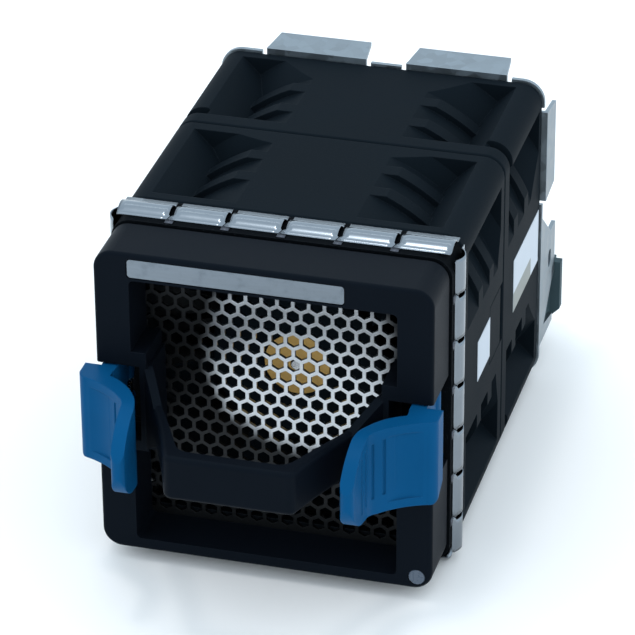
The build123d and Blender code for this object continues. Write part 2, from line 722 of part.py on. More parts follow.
def pull_handle():
    """U-shaped strap that stands in front of the grille."""
    outer = handle_face(0, -HANDLE_REACH, GRILLE_Y)
    inner = handle_face(HANDLE_ARM_THICK, -HANDLE_REACH + HANDLE_BAR_THICK, GRILLE_Y)
    low = BEZEL_Z - HANDLE_HEIGHT / 2
    top = BEZEL_Z + HANDLE_HEIGHT / 2
    solid = slab_flat(outer, low, top)
    front = solid.edges().filter_by(Axis.Z).sort_by(Axis.Y)[:2]
    solid = fillet(front, HANDLE_CORNER_R)
    rim = [edge for edge in solid.edges() if edge.center().Y < -FLARE_REACH
           and abs(abs(edge.center().Z - BEZEL_Z) - HANDLE_HEIGHT / 2) < NEAR]
    solid = fillet(rim, HANDLE_EDGE_R)
    space = slab_flat(inner, low - 1, top + 1)
    back = space.edges().filter_by(Axis.Z).sort_by(Axis.Y)[:2]
    space = fillet(back, HANDLE_INNER_R)
    return solid - space


def handle_gussets():
    """Flared roots that join the handle's arms to the full height of the waist."""
    arms = []
    low = BEZEL_Z - HANDLE_HEIGHT / 2 + FLARE_STEP
    high = BEZEL_Z + HANDLE_HEIGHT / 2 - FLARE_STEP
    points = [(GRILLE_Y, WAIST_LOW), (FLARE_START_Y, WAIST_LOW), (-FLARE_REACH, low), (-FLARE_REACH, high),
              (FLARE_START_Y, SLOT_TOP), (GRILLE_Y, SLOT_TOP)]
    side_view = slab_side(outline(*points), -BEZEL_HALF, BEZEL_HALF)
    outer = slab_flat(handle_face(0, -HANDLE_REACH, GRILLE_Y), WAIST_LOW, WAIST_TOP)
    inner = slab_flat(handle_face(HANDLE_ARM_THICK, -HANDLE_REACH + HANDLE_BAR_THICK, GRILLE_Y + 1),
                      WAIST_LOW - 1, WAIST_TOP + 1)
    for side in (-1, 1):
        half = block(0, side * BEZEL_WIDTH, -HANDLE_REACH, GRILLE_Y, BEZEL_LOW, BEZEL_TOP)
        arms.append(((outer - inner) & side_view) & half)
    return arms


def bezel():
    """Front moulding: frame, air window, latch slots and the pull handle."""
    face = RectangleRounded(BEZEL_WIDTH, BEZEL_HEIGHT, BEZEL_CORNER_R)
    body = slab_front(Pos(0, BEZEL_Z) * face, 0, BEZEL_DEPTH)
    front = [edge for edge in body.edges() if abs(edge.center().Y) < NEAR]
    body = fillet(front, BEZEL_EDGE_R)
    body -= slab_front(window_face(), -1, BEZEL_DEPTH + 1)
    body -= slab_front(Pos(0, BEZEL_Z) * Rectangle(REBATE_WIDTH, REBATE_HEIGHT), GRILLE_Y, BEZEL_DEPTH + 1)
    knuckle_y = LATCH_PIVOT_Y - LATCH_BARREL_R - KNUCKLE_ROOM
    wall_x = BEZEL_HALF - SIDE_WALL
    past = BEZEL_DEPTH + 1
    for side in (-1, 1):
        body -= block(side * SLOT_INNER_X, side * wall_x, -1, past, SILL_Z, SLOT_TOP)
        body -= block(side * (wall_x - NEAR), side * (BEZEL_HALF + 1), -1, past, SLOT_LOW, SLOT_TOP)
        body -= block(side * (SLOT_INNER_X + 1), side * (BEZEL_HALF + 1), knuckle_y, past, SLOT_LOW, SLOT_TOP)
        body -= Pos(side * PIVOT_X, LATCH_PIVOT_Y, LATCH_Z) * Cylinder(PIN_R, pin_length())
        low_cavity = (light_pipe_z() + LIGHT_PIPE_R + CAVITY_END, SLOT_LOW - PIN_END_GRIP - CAVITY_END)
        top_cavity = (SLOT_TOP + PIN_END_GRIP + CAVITY_END, WINDOW_TOP)
        for z0, z1 in (low_cavity, top_cavity):
            body -= block(side * (WINDOW_HALF + CAVITY_END), side * wall_x, CAVITY_END, past, z0, z1)
    body += pull_handle()
    for arm in handle_gussets():
        body += arm
    recess = slab_front(Pos(NAMEPLATE_SHIFT, BEZEL_TOP - NAMEPLATE_DROP)
                        * RectangleRounded(NAMEPLATE_WIDTH + 2 * NAMEPLATE_GAP,
                                           NAMEPLATE_HEIGHT + 2 * NAMEPLATE_GAP, NAMEPLATE_R + NAMEPLATE_GAP),
                        -1, NAMEPLATE_RECESS)
    body -= recess
    body -= rod(LIGHT_PIPE_R + LIGHT_PIPE_FIT, -1, BEZEL_DEPTH + 1, light_pipe_x(), light_pipe_z())
    return body


def light_pipe_x():
    """Sideways place of the status light."""
    return BEZEL_HALF - LIGHT_PIPE_INSET


def light_pipe_z():
    """Height of the status light."""
    return BEZEL_LOW + LIGHT_PIPE_RISE


def status_light_pipe():
    """Clear rod that carries the status light to the bezel's face."""
    body = rod(LIGHT_PIPE_R, 0, LIGHT_PIPE_LENGTH, light_pipe_x(), light_pipe_z())
    return chamfer(body.edges().filter_by(GeomType.CIRCLE).sort_by(Axis.Y)[0], LIGHT_PIPE_CHAMFER)


def nameplate():
    """Bare plate in its recess."""
    face = RectangleRounded(NAMEPLATE_WIDTH, NAMEPLATE_HEIGHT, NAMEPLATE_R)
    face = Pos(NAMEPLATE_SHIFT, BEZEL_TOP - NAMEPLATE_DROP) * face
    return slab_front(face, NAMEPLATE_RECESS - NAMEPLATE_THICK, NAMEPLATE_RECESS)


def front_grille():
    """Perforated sheet behind the bezel, with hexagonal holes in a honeycomb."""
    width = REBATE_WIDTH - 2 * SHEET_FIT
    height = REBATE_HEIGHT - 2 * SHEET_FIT
    radius = HEX_FLAT / sqrt(3)
    row_step = HEX_PITCH * sqrt(3) / 2
    holes = []
    rows = ceil((height / 2 - GRILLE_BORDER + HEX_RISE) / row_step)
    columns = ceil((width / 2 - GRILLE_BORDER) / HEX_PITCH)
    for row in range(-rows, rows + 1):
        for column in range(-columns, columns + 1):
            x = (column + 0.5 * (row % 2)) * HEX_PITCH
            z = row * row_step + HEX_RISE
            inside_x = abs(x) + HEX_PITCH / 2 < width / 2 - GRILLE_BORDER
            inside_z = abs(z) + HEX_PITCH / 2 < height / 2 - GRILLE_BORDER
            if inside_x and inside_z:
                holes.append(Pos(x, z) * RegularPolygon(radius, 6, rotation=30))
    sheet = Rectangle(width, height) - holes
    sheet = slab_front(Pos(0, BEZEL_Z) * sheet, GRILLE_Y, GRILLE_BACK)
    for side in (-1, 1):
        sheet -= block(side * (SLOT_INNER_X - SHEET_FIT), side * BEZEL_WIDTH, GRILLE_Y - 1, GRILLE_BACK + 1,
                       SLOT_LOW - SHEET_FIT, SLOT_TOP + SHEET_FIT)
    return sheet - rod(LIGHT_PIPE_R + SHEET_FIT, 0, FAN_FRONT_Y, light_pipe_x(), light_pipe_z())


def pin_length():
    """Length of a latch pin, through the slot and into the bezel at both ends."""
    return SLOT_TOP - SLOT_LOW + 2 * PIN_END_GRIP


def latch_pin(side):
    """Steel pin on which a latch turns."""
    return Pos(side * PIVOT_X, LATCH_PIVOT_Y, LATCH_Z) * Cylinder(PIN_R - PRESS_GAP / 5, pin_length())


def latch_outer_line():
    """Outer line of the right latch seen from above, from the shoulder to the nose."""
    tip_x = LATCH_TIP_IN + LATCH_TIP_THICK
    shoulder = (BEZEL_HALF + LATCH_PROUD - LATCH_SHOULDER, -LATCH_ROOT_DEPTH - LATCH_SHOULDER)
    knee = (LATCH_KNEE_X, -LATCH_KNEE_Y)
    bend = (tip_x + LATCH_TIP_FLARE, LATCH_TIP_LENGTH - LATCH_REACH)
    return [bowed(shoulder, knee, -LATCH_WEB_BOW), bowed(knee, bend, -LATCH_BEND_BOW),
            Line(bend, (tip_x, LATCH_NOSE - LATCH_REACH))]


def latch_plan():
    """Right latch seen from above: outer line, nose, inner line and root."""
    root_out = BEZEL_HALF + LATCH_PROUD
    root_in = root_out - LATCH_ROOT_WIDTH
    shoulder = (root_out, -LATCH_ROOT_DEPTH)
    outer = latch_outer_line()
    nose = (LATCH_TIP_IN, LATCH_NOSE - LATCH_REACH)
    bend = (LATCH_TIP_IN + LATCH_TIP_FLARE, LATCH_TIP_LENGTH - LATCH_REACH)
    knee = (LATCH_KNEE_X - LATCH_KNEE_THICK, LATCH_KNEE_THICK - LATCH_KNEE_Y)
    heel = (root_in, -LATCH_ROOT_DEPTH)
    lines = [Line((root_in, -LATCH_FACE_GAP), (root_out, -LATCH_FACE_GAP)),
             Line((root_out, -LATCH_FACE_GAP), shoulder),
             bowed(shoulder, (root_out - LATCH_SHOULDER, -LATCH_ROOT_DEPTH - LATCH_SHOULDER),
                   LATCH_SHOULDER_BOW),
             *outer, bowed((LATCH_TIP_IN + LATCH_TIP_THICK, LATCH_NOSE - LATCH_REACH), nose, LATCH_NOSE),
             Line(nose, bend), bowed(bend, knee, LATCH_BEND_BOW), bowed(knee, heel, LATCH_WEB_BOW),
             Line(heel, (root_in, -LATCH_FACE_GAP))]
    return make_face(Wire(lines))


def latch_side_view():
    """Side outline that rounds the paddle's free end, as seen along X."""
    back = LATCH_FACE_GAP
    tip = (-LATCH_REACH - PRESS_GAP, LATCH_Z + LATCH_TIP_RISE)
    top = (-LATCH_TOP_LENGTH, LATCH_TOP)
    low = (-LATCH_LOW_LENGTH, LATCH_LOW + LATCH_LOW_RISE)
    heel_z = SILL_Z + LATCH_HEEL_RISE
    under = [low, (-LATCH_TOP_LENGTH, LATCH_LOW), (-LATCH_HEEL_LENGTH, LATCH_LOW), (-LATCH_FACE_GAP, heel_z),
             (back, heel_z), (back, LATCH_TOP), top]
    lines = [bowed(top, tip, -LATCH_TIP_BOW), bowed(tip, low, -LATCH_TIP_BOW)]
    return make_face(Wire(lines + list(Polyline(*under).edges())))


def latch():
    """Right squeeze latch: ribbed paddle, shank and two knuckles on the pin."""
    paddle = slab_flat(latch_plan(), LATCH_LOW - 1, LATCH_TOP + 1)
    paddle &= slab_side(latch_side_view(), 0, BEZEL_WIDTH)
    shank_low = SILL_Z + LATCH_FIT
    shank_x = PIVOT_X - LATCH_SHANK_THICK / 2
    shank_out = shank_x + LATCH_SHANK_THICK
    shank = block(shank_x, shank_out, -LATCH_ROOT_DEPTH / 2, LATCH_PIVOT_Y, shank_low, LATCH_TOP)
    knuckle = Cylinder(LATCH_BARREL_R, LATCH_TOP - shank_low)
    knuckle = Pos(PIVOT_X, LATCH_PIVOT_Y, (shank_low + LATCH_TOP) / 2) * knuckle
    body = paddle + shank + knuckle
    seat = SPRING_SEAT / 2
    reach = LATCH_BARREL_R + SPRING_SIDE_GAP
    body -= block(PIVOT_X - reach, PIVOT_X + reach, LATCH_PIVOT_Y - reach, LATCH_PIVOT_Y + reach,
                  LATCH_Z - seat, LATCH_Z + seat)
    body -= Pos(PIVOT_X, LATCH_PIVOT_Y, LATCH_Z) * Cylinder(PIN_R + PIN_FIT, 2 * LATCH_HEIGHT)
    return body - latch_hollow() - latch_grooves()


def latch_hollow():
    """Shallow hollow in the paddle's outer face, between its shoulder and its knee."""
    line = latch_outer_line()[0]
    start = line.position_at(LATCH_HOLLOW_START, position_mode=PositionMode.LENGTH)
    end = line.position_at(LATCH_HOLLOW_END, position_mode=PositionMode.LENGTH)
    half = (end - start).length / 2
    radius = (half * half + LATCH_HOLLOW_DEPTH * LATCH_HOLLOW_DEPTH) / (2 * LATCH_HOLLOW_DEPTH)
    across = (end - start) / (2 * half)
    shift = radius - LATCH_HOLLOW_DEPTH
    centre = Pos((start.X + end.X) / 2 - across.Y * shift, (start.Y + end.Y) / 2 + across.X * shift, LATCH_Z)
    return centre * Cylinder(radius, LATCH_HEIGHT - 2 * LATCH_HOLLOW_MARGIN)


def latch_grooves():
    """Thumb grooves down the outer face of the paddle, evenly spaced along its line."""
    line = Wire(latch_outer_line())
    pitch = (line.length - LATCH_GROOVE_START - LATCH_GROOVE_END) / (LATCH_GROOVES - 1)
    length = LATCH_HEIGHT - 2 * LATCH_GROOVE_MARGIN
    grooves = []
    for index in range(LATCH_GROOVES):
        along = LATCH_GROOVE_START + index * pitch
        spot = line.position_at(along, position_mode=PositionMode.LENGTH)
        z = LATCH_Z + LATCH_GROOVE_RISE - index * LATCH_GROOVE_FALL
        grooves.append(Pos(spot.X, spot.Y, z) * Cylinder(LATCH_GROOVE_R, length))
    return grooves


def latch_spring(side):
    """Torsion spring round the pin, between the latch's two knuckles."""
    pitch = 2 * SPRING_WIRE_R + SPRING_COIL_GAP
    height = pitch * SPRING_TURNS
    coil = Helix(pitch, height, SPRING_COIL_R)
    wire = sweep(Plane(origin=coil @ 0, z_dir=coil % 0) * Circle(SPRING_WIRE_R), path=coil, is_frenet=True)
    low = LATCH_Z - height / 2
    wire = Pos(PIVOT_X, LATCH_PIVOT_Y, low) * wire
    if side < 0:
        wire = mirror(wire, about=Plane.YZ)
    return wire


def gasket_carrier():
    """Black sheet box between the bezel and the fan, which carries the finger strips."""
    half = CARRIER_SIZE / 2
    body = slab_front(Pos(0, FAN_Z) * RectangleRounded(CARRIER_SIZE, CARRIER_SIZE, FAN_CORNER_R),
                      CARRIER_FRONT_Y, FAN_FRONT_Y)
    hollow = CARRIER_SIZE - 2 * CARRIER_WALL
    body -= slab_front(Pos(0, FAN_Z) * RectangleRounded(hollow, hollow, CARRIER_INNER_R),
                       CARRIER_FRONT_Y + CARRIER_LIP, FAN_FRONT_Y - CARRIER_LIP)
    neck_width = REBATE_WIDTH - 2 * SHEET_FIT
    neck_height = REBATE_HEIGHT - 2 * SHEET_FIT
    body += slab_front(Pos(0, BEZEL_Z) * Rectangle(neck_width, neck_height), GRILLE_BACK, CARRIER_FRONT_Y)
    body -= slab_front(Pos(0, FAN_Z) * Rectangle(CARRIER_OPENING, CARRIER_OPENING), GRILLE_BACK - 1,
                       CARRIER_FRONT_Y + CARRIER_LIP + 1)
    body -= rod(CARRIER_HOLE_R, FAN_FRONT_Y - CARRIER_LIP - 1, FAN_FRONT_Y + 1)
    for side in (-1, 1):
        body -= block(side * (SLOT_INNER_X - SHEET_FIT), side * half, GRILLE_BACK - 1, CARRIER_FRONT_Y,
                      SLOT_LOW - SHEET_FIT, SLOT_TOP + SHEET_FIT)
    for x, z in corners(SCREW_HALF, SCREW_HALF):
        body -= rod(SCREW_R + SCREW_HOLE_FIT, FAN_FRONT_Y - CARRIER_LIP - 1, FAN_FRONT_Y + 1, x, z)
    room = LIGHT_PIPE_R + SHEET_FIT
    return body - rod(room, GRILLE_BACK - 1, LIGHT_PIPE_LENGTH + 1, light_pipe_x(), light_pipe_z())


def strip_profile():
    """Side view of a finger strip: foot, sprung hump and flat band at the back."""
    peak = REACH - CARRIER_SIZE / 2
    start = CARRIER_FRONT_Y + STRIP_FOOT
    end = FAN_FRONT_Y - STRIP_BACK_GAP - STRIP_BAND
    middle = (start + end) / 2
    thick = STRIP_THICK
    hump = make_face(Wire([ThreePointArc((start, 0), (middle, peak), (end, 0)),
                           Line((end, 0), (end - thick, 0)),
                           ThreePointArc((end - thick, 0), (middle, peak - thick), (start + thick, 0)),
                           Line((start + thick, 0), (start, 0))]))
    foot = outline((CARRIER_FRONT_Y, 0), (start + thick, 0), (start + thick, thick), (CARRIER_FRONT_Y, thick))
    band = outline((end - thick, 0), (end + STRIP_BAND, 0), (end + STRIP_BAND, thick), (end - thick, thick))
    return hump + foot + band


def finger_strip(length, slits, pitch):
    """Finger strip along X, lying on the carrier's top face."""
    body = slab_side(strip_profile(), -length / 2, length / 2)
    hook = outline((CARRIER_FRONT_Y - STRIP_THICK, -HOOK_HEIGHT), (CARRIER_FRONT_Y, -HOOK_HEIGHT),
                   (CARRIER_FRONT_Y, STRIP_THICK), (CARRIER_FRONT_Y - STRIP_THICK, STRIP_THICK))
    slit_y = CARRIER_FRONT_Y + STRIP_FRONT_LINK
    for index in range(slits):
        x = (index - (slits - 1) / 2) * pitch
        body -= block(x - SLIT_WIDTH / 2, x + SLIT_WIDTH / 2, slit_y, FAN_FRONT_Y + 1, -1, 2 * REACH)
        body += slab_side(hook, x - HOOK_WIDTH / 2, x + HOOK_WIDTH / 2)
    return Pos(0, 0, FAN_Z + CARRIER_SIZE / 2) * body


def turned(shape, angle):
    """Shape turned about the fan's centre line."""
    return Pos(0, 0, FAN_Z) * Rot(0, angle, 0) * Pos(0, 0, -FAN_Z) * shape


def rear_plate():
    """Galvanised sheet on the rear of the fan, with bent guide tabs round its edge."""
    face = RectangleRounded(2 * PLATE_HALF, 2 * PLATE_HALF, REAR_PLATE_CORNER_R)
    plate = slab_front(Pos(0, FAN_Z) * face, FAN_REAR_Y, REAR_PLATE_Y)
    plate -= rod(REAR_HOLE_R, FAN_REAR_Y - 1, REAR_PLATE_Y + 1)
    for x, z in corners(SCREW_HALF, SCREW_HALF):
        plate -= rod(SCREW_R + SCREW_HOLE_FIT, FAN_REAR_Y - 1, REAR_PLATE_Y + 1, x, z)
    for z in rivet_heights():
        plate -= rod(RIVET_R + PRESS_GAP, FAN_REAR_Y - 1, REAR_PLATE_Y + 1, rivet_x(), z)
    tabs = ((TAB_LEFT_INSET - PLATE_HALF, TAB_SPACE_X - TAB_SPACE / 2),
            (TAB_SPACE_X + TAB_SPACE / 2, PLATE_HALF - TAB_RIGHT_INSET))
    for start, end in tabs:
        plate = bent_tab(plate, 0, start, end)
        plate = bent_tab(plate, 180, -end, -start)
    side_end = PLATE_HALF - SIDE_TAB_INSET
    plate = bent_tab(plate, 90, -side_end, SIDE_TAB_WIDTH - side_end)
    return bent_tab(plate, -90, side_end - SIDE_TAB_WIDTH, side_end)


def bent_tab(plate, angle, start, end):
    """Adds one tab bent back from the plate's edge, with a relief cut at each end."""
    for x in (start - TAB_RELIEF, end):
        notch = block(x, x + TAB_RELIEF, FAN_REAR_Y - 1, REAR_PLATE_Y + 1,
                      FAN_Z + PLATE_HALF - TAB_RELIEF_DEPTH, FAN_Z + PLATE_HALF + 1)
        plate -= turned(notch, angle)
    root = block(start, end, FAN_REAR_Y, REAR_PLATE_Y, FAN_Z + PLATE_HALF - TAB_RELIEF, FAN_Z + REACH)
    low = FAN_Z + REACH - REAR_PLATE_THICK
    rear = FAN_REAR_Y + TAB_LENGTH
    plan = outline((start, FAN_REAR_Y), (end, FAN_REAR_Y), (end - TAB_TAPER, rear), (start + TAB_TAPER, rear))
    leaf = slab_flat(plan, low, FAN_Z + REACH)
    return plate + turned(root, angle) + turned(leaf, angle)


def screw(x, z, face_y, into):
    """Pan head screw with a cross recess; into is 1 when its shank points back, -1 when forward."""
    outer = face_y - into * SCREW_HEAD_H
    head = rod(SCREW_HEAD_R, min(face_y, outer), max(face_y, outer), x, z)
    rim = head.edges().filter_by(GeomType.CIRCLE).sort_by(Axis.Y)
    head = fillet(rim[0] if into > 0 else rim[-1], SCREW_HEAD_H * SCREW_EDGE_SHARE)
    end = face_y + into * SCREW_LENGTH
    shank = rod(SCREW_R, min(face_y, end), max(face_y, end), x, z)
    deep = outer + into * SCREW_RECESS_DEPTH
    y0, y1 = min(outer - into, deep), max(outer - into, deep)
    body = head + shank
    arm = SCREW_RECESS_R / 3
    body -= block(x - SCREW_RECESS_R, x + SCREW_RECESS_R, y0, y1, z - arm, z + arm)
    return body - block(x - arm, x + arm, y0, y1, z - SCREW_RECESS_R, z + SCREW_RECESS_R)


def front_screws():
    """Screws that hold the gasket carrier on the fan."""
    face = FAN_FRONT_Y - CARRIER_LIP
    return [screw(x, z, face, 1) for x, z in corners(SCREW_HALF, SCREW_HALF)]


def rear_screws():
    """Screws that hold the rear plate on the fan."""
    return [screw(x, z, REAR_PLATE_Y, -1) for x, z in corners(SCREW_HALF, SCREW_HALF)]


def rivet_x():
    """Sideways place of the rivets, in the middle of the bracket's foot."""
    return PLATE_HALF - BRACKET_FOOT_WIDTH / 2


def rivet_heights():
    """Heights of the rivets, spaced about the middle of the bracket's foot."""
    middle = (BRACKET_BOTTOM_Z + BRACKET_THICK + BRACKET_FOOT_TOP_Z) / 2
    return [middle + (index - (RIVETS - 1) / 2) * RIVET_PITCH for index in range(RIVETS)]


def bracket_rivets():
    """Rivets that hold the bracket's foot on the rear plate, flush on the fan's side."""
    seat = REAR_PLATE_Y + BRACKET_THICK
    rivets = []
    for z in rivet_heights():
        head = rod(RIVET_HEAD_R, seat, seat + RIVET_HEAD_H, rivet_x(), z)
        rivets.append(rod(RIVET_R, FAN_REAR_Y, seat, rivet_x(), z) + head)
    return rivets


def connector_bracket():
    """Bent sheet behind the plate: a side wall, a shelf and the foot on the plate."""
    outer = PLATE_HALF
    inner = outer - BRACKET_THICK
    rear = REAR_PLATE_Y + BRACKET_REACH
    start = REAR_PLATE_Y
    shelf_end = rear - BRACKET_SHELF_END
    notch_z = BRACKET_LOW_EDGE_Z + BRACKET_NOTCH_RISE
    side_view = outline((start, BRACKET_BOTTOM_Z), (shelf_end, BRACKET_BOTTOM_Z),
                        (shelf_end, BRACKET_BOTTOM_Z + BRACKET_LIP),
                        (start + BRACKET_NOTCH_START, BRACKET_LOW_EDGE_Z),
                        (rear - BRACKET_NOTCH_STEP, notch_z), (rear, notch_z + BRACKET_SHELF_END),
                        (rear, BRACKET_TOP_Z), (rear - BRACKET_TOP_FLAT, BRACKET_TOP_Z),
                        (start, BRACKET_ROOT_Z))
    wall = slab_side(side_view, inner, outer)
    shelf = block(outer - BRACKET_SHELF_WIDTH, outer, start, shelf_end, BRACKET_BOTTOM_Z,
                  BRACKET_BOTTOM_Z + BRACKET_THICK)
    foot = block(outer - BRACKET_FOOT_WIDTH, outer, start, start + BRACKET_THICK, BRACKET_BOTTOM_Z,
                 BRACKET_FOOT_TOP_Z)
    body = wall + shelf + foot
    slot = SlotOverall(BRACKET_HOLE_HEIGHT, 2 * BRACKET_HOLE_R, rotation=90)
    body -= slab_side(Pos(rear - BRACKET_HOLE_BACK, BRACKET_HOLE_Z) * slot, inner - 1, outer + 1)
    for z in rivet_heights():
        body -= rod(RIVET_R + PRESS_GAP, start - 1, start + BRACKET_THICK + 1, rivet_x(), z)
    return body


def connector_centre():
    """Centre of the connector, seen from behind."""
    low = BRACKET_BOTTOM_Z + BRACKET_THICK
    return PLATE_HALF - BRACKET_THICK - CONNECTOR_BODY_W / 2, low + CONNECTOR_BODY_H / 2


def connector_housing():
    """Moulded plug body on the shelf, with a flange behind the bracket and an open nose."""
    x, z = connector_centre()
    start = REAR_PLATE_Y + CONNECTOR_START_GAP
    rear = REAR_PLATE_Y + BRACKET_REACH
    nose = start + CONNECTOR_BODY_L
    half = CONNECTOR_BODY_W / 2
    low = BRACKET_BOTTOM_Z + BRACKET_THICK
    flange_low = low - CONNECTOR_FLANGE_DROP
    body = block(x - half, x + half, start, nose, low, low + CONNECTOR_BODY_H)
    flange = block(x - half - CONNECTOR_FLANGE_IN, PLATE_HALF + CONNECTOR_FLANGE_OUT, rear,
                   rear + CONNECTOR_FLANGE_T, flange_low, flange_low + CONNECTOR_FLANGE_H)
    flange = chamfer(flange.edges().filter_by(Axis.Y).sort_by(Axis.Z)[:2], CONNECTOR_CHAMFER)
    body += flange
    body -= block(x - half + CONNECTOR_WALL, x + half - CONNECTOR_WALL, nose - CONTACT_PROUD, nose + 1,
                  low + CONNECTOR_WALL, low + CONNECTOR_BODY_H - CONNECTOR_WALL)
    for cx, cz in contact_places():
        body -= block(cx - CONTACT_SIZE / 2, cx + CONTACT_SIZE / 2, start - 1, nose, cz - CONTACT_SIZE / 2,
                      cz + CONTACT_SIZE / 2)
    return body


def contact_places():
    """Centres of the contacts, seen from behind."""
    x, z = connector_centre()
    places = []
    for column in range(CONTACT_COLUMNS):
        for row in range(CONTACT_ROWS):
            places.append((x + (column - (CONTACT_COLUMNS - 1) / 2) * CONTACT_COLUMN_PITCH,
                           z + (row - (CONTACT_ROWS - 1) / 2) * CONTACT_PITCH))
    return places


def connector_contacts():
    """Brass blades held in the plug body."""
    nose = REAR_PLATE_Y + CONNECTOR_START_GAP + CONNECTOR_BODY_L
    half = CONTACT_SIZE / 2 - PRESS_GAP
    start = REAR_PLATE_Y + CONNECTOR_START_GAP + CONTACT_INSET
    end = nose - CONTACT_SHORT
    return [block(x - half, x + half, start, end, z - half, z + half) for x, z in contact_places()]


def side_label(start, length, height):
    """Bare label on the right side of the fan, level with its centre line."""
    low = FAN_Z - height / 2
    return block(FAN_HALF, FAN_HALF + LABEL_THICK, start, start + length, low, low + height)


def all_parts():
    """Every node with its shape."""
    parts = {}
    parts["bezel"] = bezel()
    parts["nameplate"] = nameplate()
    parts["status_light_pipe"] = status_light_pipe()
    parts["front_grille"] = front_grille()
    right = latch()
    parts["right_latch"] = right
    parts["left_latch"] = mirror(right, about=Plane.YZ)
    for name, side in (("right", 1), ("left", -1)):
        parts[name + "_latch_pin"] = latch_pin(side)
        parts[name + "_latch_spring"] = latch_spring(side)
    parts["gasket_carrier"] = gasket_carrier()
    wide = finger_strip(STRIP_LENGTH_WIDE, SLITS_WIDE, SLIT_PITCH_WIDE)
    tall = finger_strip(STRIP_LENGTH_TALL, SLITS_TALL, SLIT_PITCH_TALL)
    parts["top_gasket_strip"] = wide
    parts["bottom_gasket_strip"] = turned(wide, 180)
    parts["right_gasket_strip"] = turned(tall, 90)
    parts["left_gasket_strip"] = turned(tall, -90)
    parts["front_fan_frame"] = front_fan_frame()
    parts["rear_fan_frame"] = rear_fan_frame()
    parts["front_impeller"] = impeller(FRONT_BLADES, 1)
    parts["rear_impeller"] = to_rear(impeller(REAR_BLADES, -1))
    pieces = {"hub_boss": hub_boss(), "rotor_cup": rotor_cup(), "magnet_ring": magnet_ring(),
              "shaft": shaft(), "shaft_clip": shaft_clip(), "stator": stator(), "windings": windings(),
              "bearing_tube": bearing_tube(), "ball_bearings": bearings(), "motor_board": motor_board()}
    for name, shape in pieces.items():
        parts["front_" + name] = shape
        parts["rear_" + name] = [to_rear(one) for one in shape] if isinstance(shape, list) else to_rear(shape)
    parts["carrier_screws"] = front_screws()
    parts["side_cover"] = side_cover()
    parts["rear_plate"] = rear_plate()
    parts["rear_plate_screws"] = rear_screws()
    parts["connector_bracket"] = connector_bracket()
    parts["connector_housing"] = connector_housing()
    parts["connector_contacts"] = connector_contacts()
    parts["bracket_rivets"] = bracket_rivets()
    parts["rear_side_label"] = side_label(SEAM_Y + LABEL_BIG_START, LABEL_BIG_LENGTH, LABEL_BIG_HEIGHT)
    parts["front_side_label"] = side_label(FAN_FRONT_Y + LABEL_SMALL_START, LABEL_SMALL_LENGTH,
                                           LABEL_SMALL_HEIGHT)
    return parts


os.makedirs("parts", exist_ok=True)
for node, shape in all_parts().items():
    whole = Compound(children=list(shape)) if isinstance(shape, list) else shape
    export_step(whole, "parts/" + node + ".step")
    print(node, round(whole.volume, 2))
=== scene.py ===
from math import cos, pi, radians, sin

import bpy
import numpy as np
from mathutils import Matrix, Vector


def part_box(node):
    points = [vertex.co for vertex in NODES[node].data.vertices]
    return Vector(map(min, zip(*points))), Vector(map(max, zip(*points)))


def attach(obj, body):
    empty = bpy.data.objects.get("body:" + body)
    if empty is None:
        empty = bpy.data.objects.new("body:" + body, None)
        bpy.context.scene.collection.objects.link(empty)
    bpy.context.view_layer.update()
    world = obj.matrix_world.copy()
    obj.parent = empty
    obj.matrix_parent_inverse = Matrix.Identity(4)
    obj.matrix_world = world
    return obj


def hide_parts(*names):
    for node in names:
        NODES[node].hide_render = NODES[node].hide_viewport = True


bl_info = {
    "name": "Switch fan tray",
    "version": (1, 0, 0),
    "blender": (4, 5, 0),
    "location": "View3D > Sidebar > Fan tray",
    "description": "Finishes a switch fan tray: bezel, latches, contact strips, fans, rear plate and stage",
    "category": "Object",
}

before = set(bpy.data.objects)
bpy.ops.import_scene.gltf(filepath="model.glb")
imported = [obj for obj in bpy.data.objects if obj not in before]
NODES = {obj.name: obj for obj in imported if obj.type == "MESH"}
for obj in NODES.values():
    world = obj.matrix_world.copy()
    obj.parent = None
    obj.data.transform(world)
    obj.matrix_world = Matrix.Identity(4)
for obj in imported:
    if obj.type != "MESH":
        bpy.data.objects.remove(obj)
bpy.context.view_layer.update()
MM = 0.001

# Contact strips: their side line from front to back, the slits between the fingers, and the hooks
STRIP_DEPTH = 8.2 * MM
STRIP_FOOT = 0.2 * MM
STRIP_BAND = 1.9 * MM
STRIP_SLIT = 1.25 * MM
STRIP_HAIRLINE = 0.22 * MM
STRIP_HAIRLINE_REACH = 0.85 * MM
STRIP_HAIRLINE_SHIFT = -0.9 * MM
HUMP_POINTS = 25
HUMP_LAST_SHARE = 0.99
HUMP_FULLNESS = 0.8
BAND_SHARES = (0.04, 0.1, 1)
FINGER_COLUMNS = 9
FINGER_CROWN_POWER = 4
HOOK_WIDTH = 1.9 * MM
HOOK_REACH = 1.7 * MM
WIDE_SLITS = 5
WIDE_PITCH = 13.1 * MM
TALL_SLITS = 6
TALL_PITCH = 11.67 * MM

# Painted pool of light on the grille, with its centre, radius, fade and the wander of its rim; outside it the
# grille's colour is darkened as painted shade
PAINTED_LIGHT_X = 5.4 * MM
PAINTED_LIGHT_Z = 51 * MM
PAINTED_LIGHT_R = 22 * MM
PAINTED_LIGHT_FADE = 6 * MM
PAINTED_LIGHT_WANDER = 6 * MM

# Edges of the finishes: how the rounding is sampled, where the edge wear and the plastic's painted edge
# highlight start, and the radii
BEVEL_SAMPLES = 6
EDGE_LEVEL = 0.06
EDGE_FADE = 0.1
METAL_EDGE = 0.12 * MM
SHEET_EDGE = 0.15 * MM
SHEET_CUT = 0.25 * MM
PAINT_EDGE = 0.2 * MM
BRASS_EDGE = 0.2 * MM
ROD_EDGE = 0.3 * MM

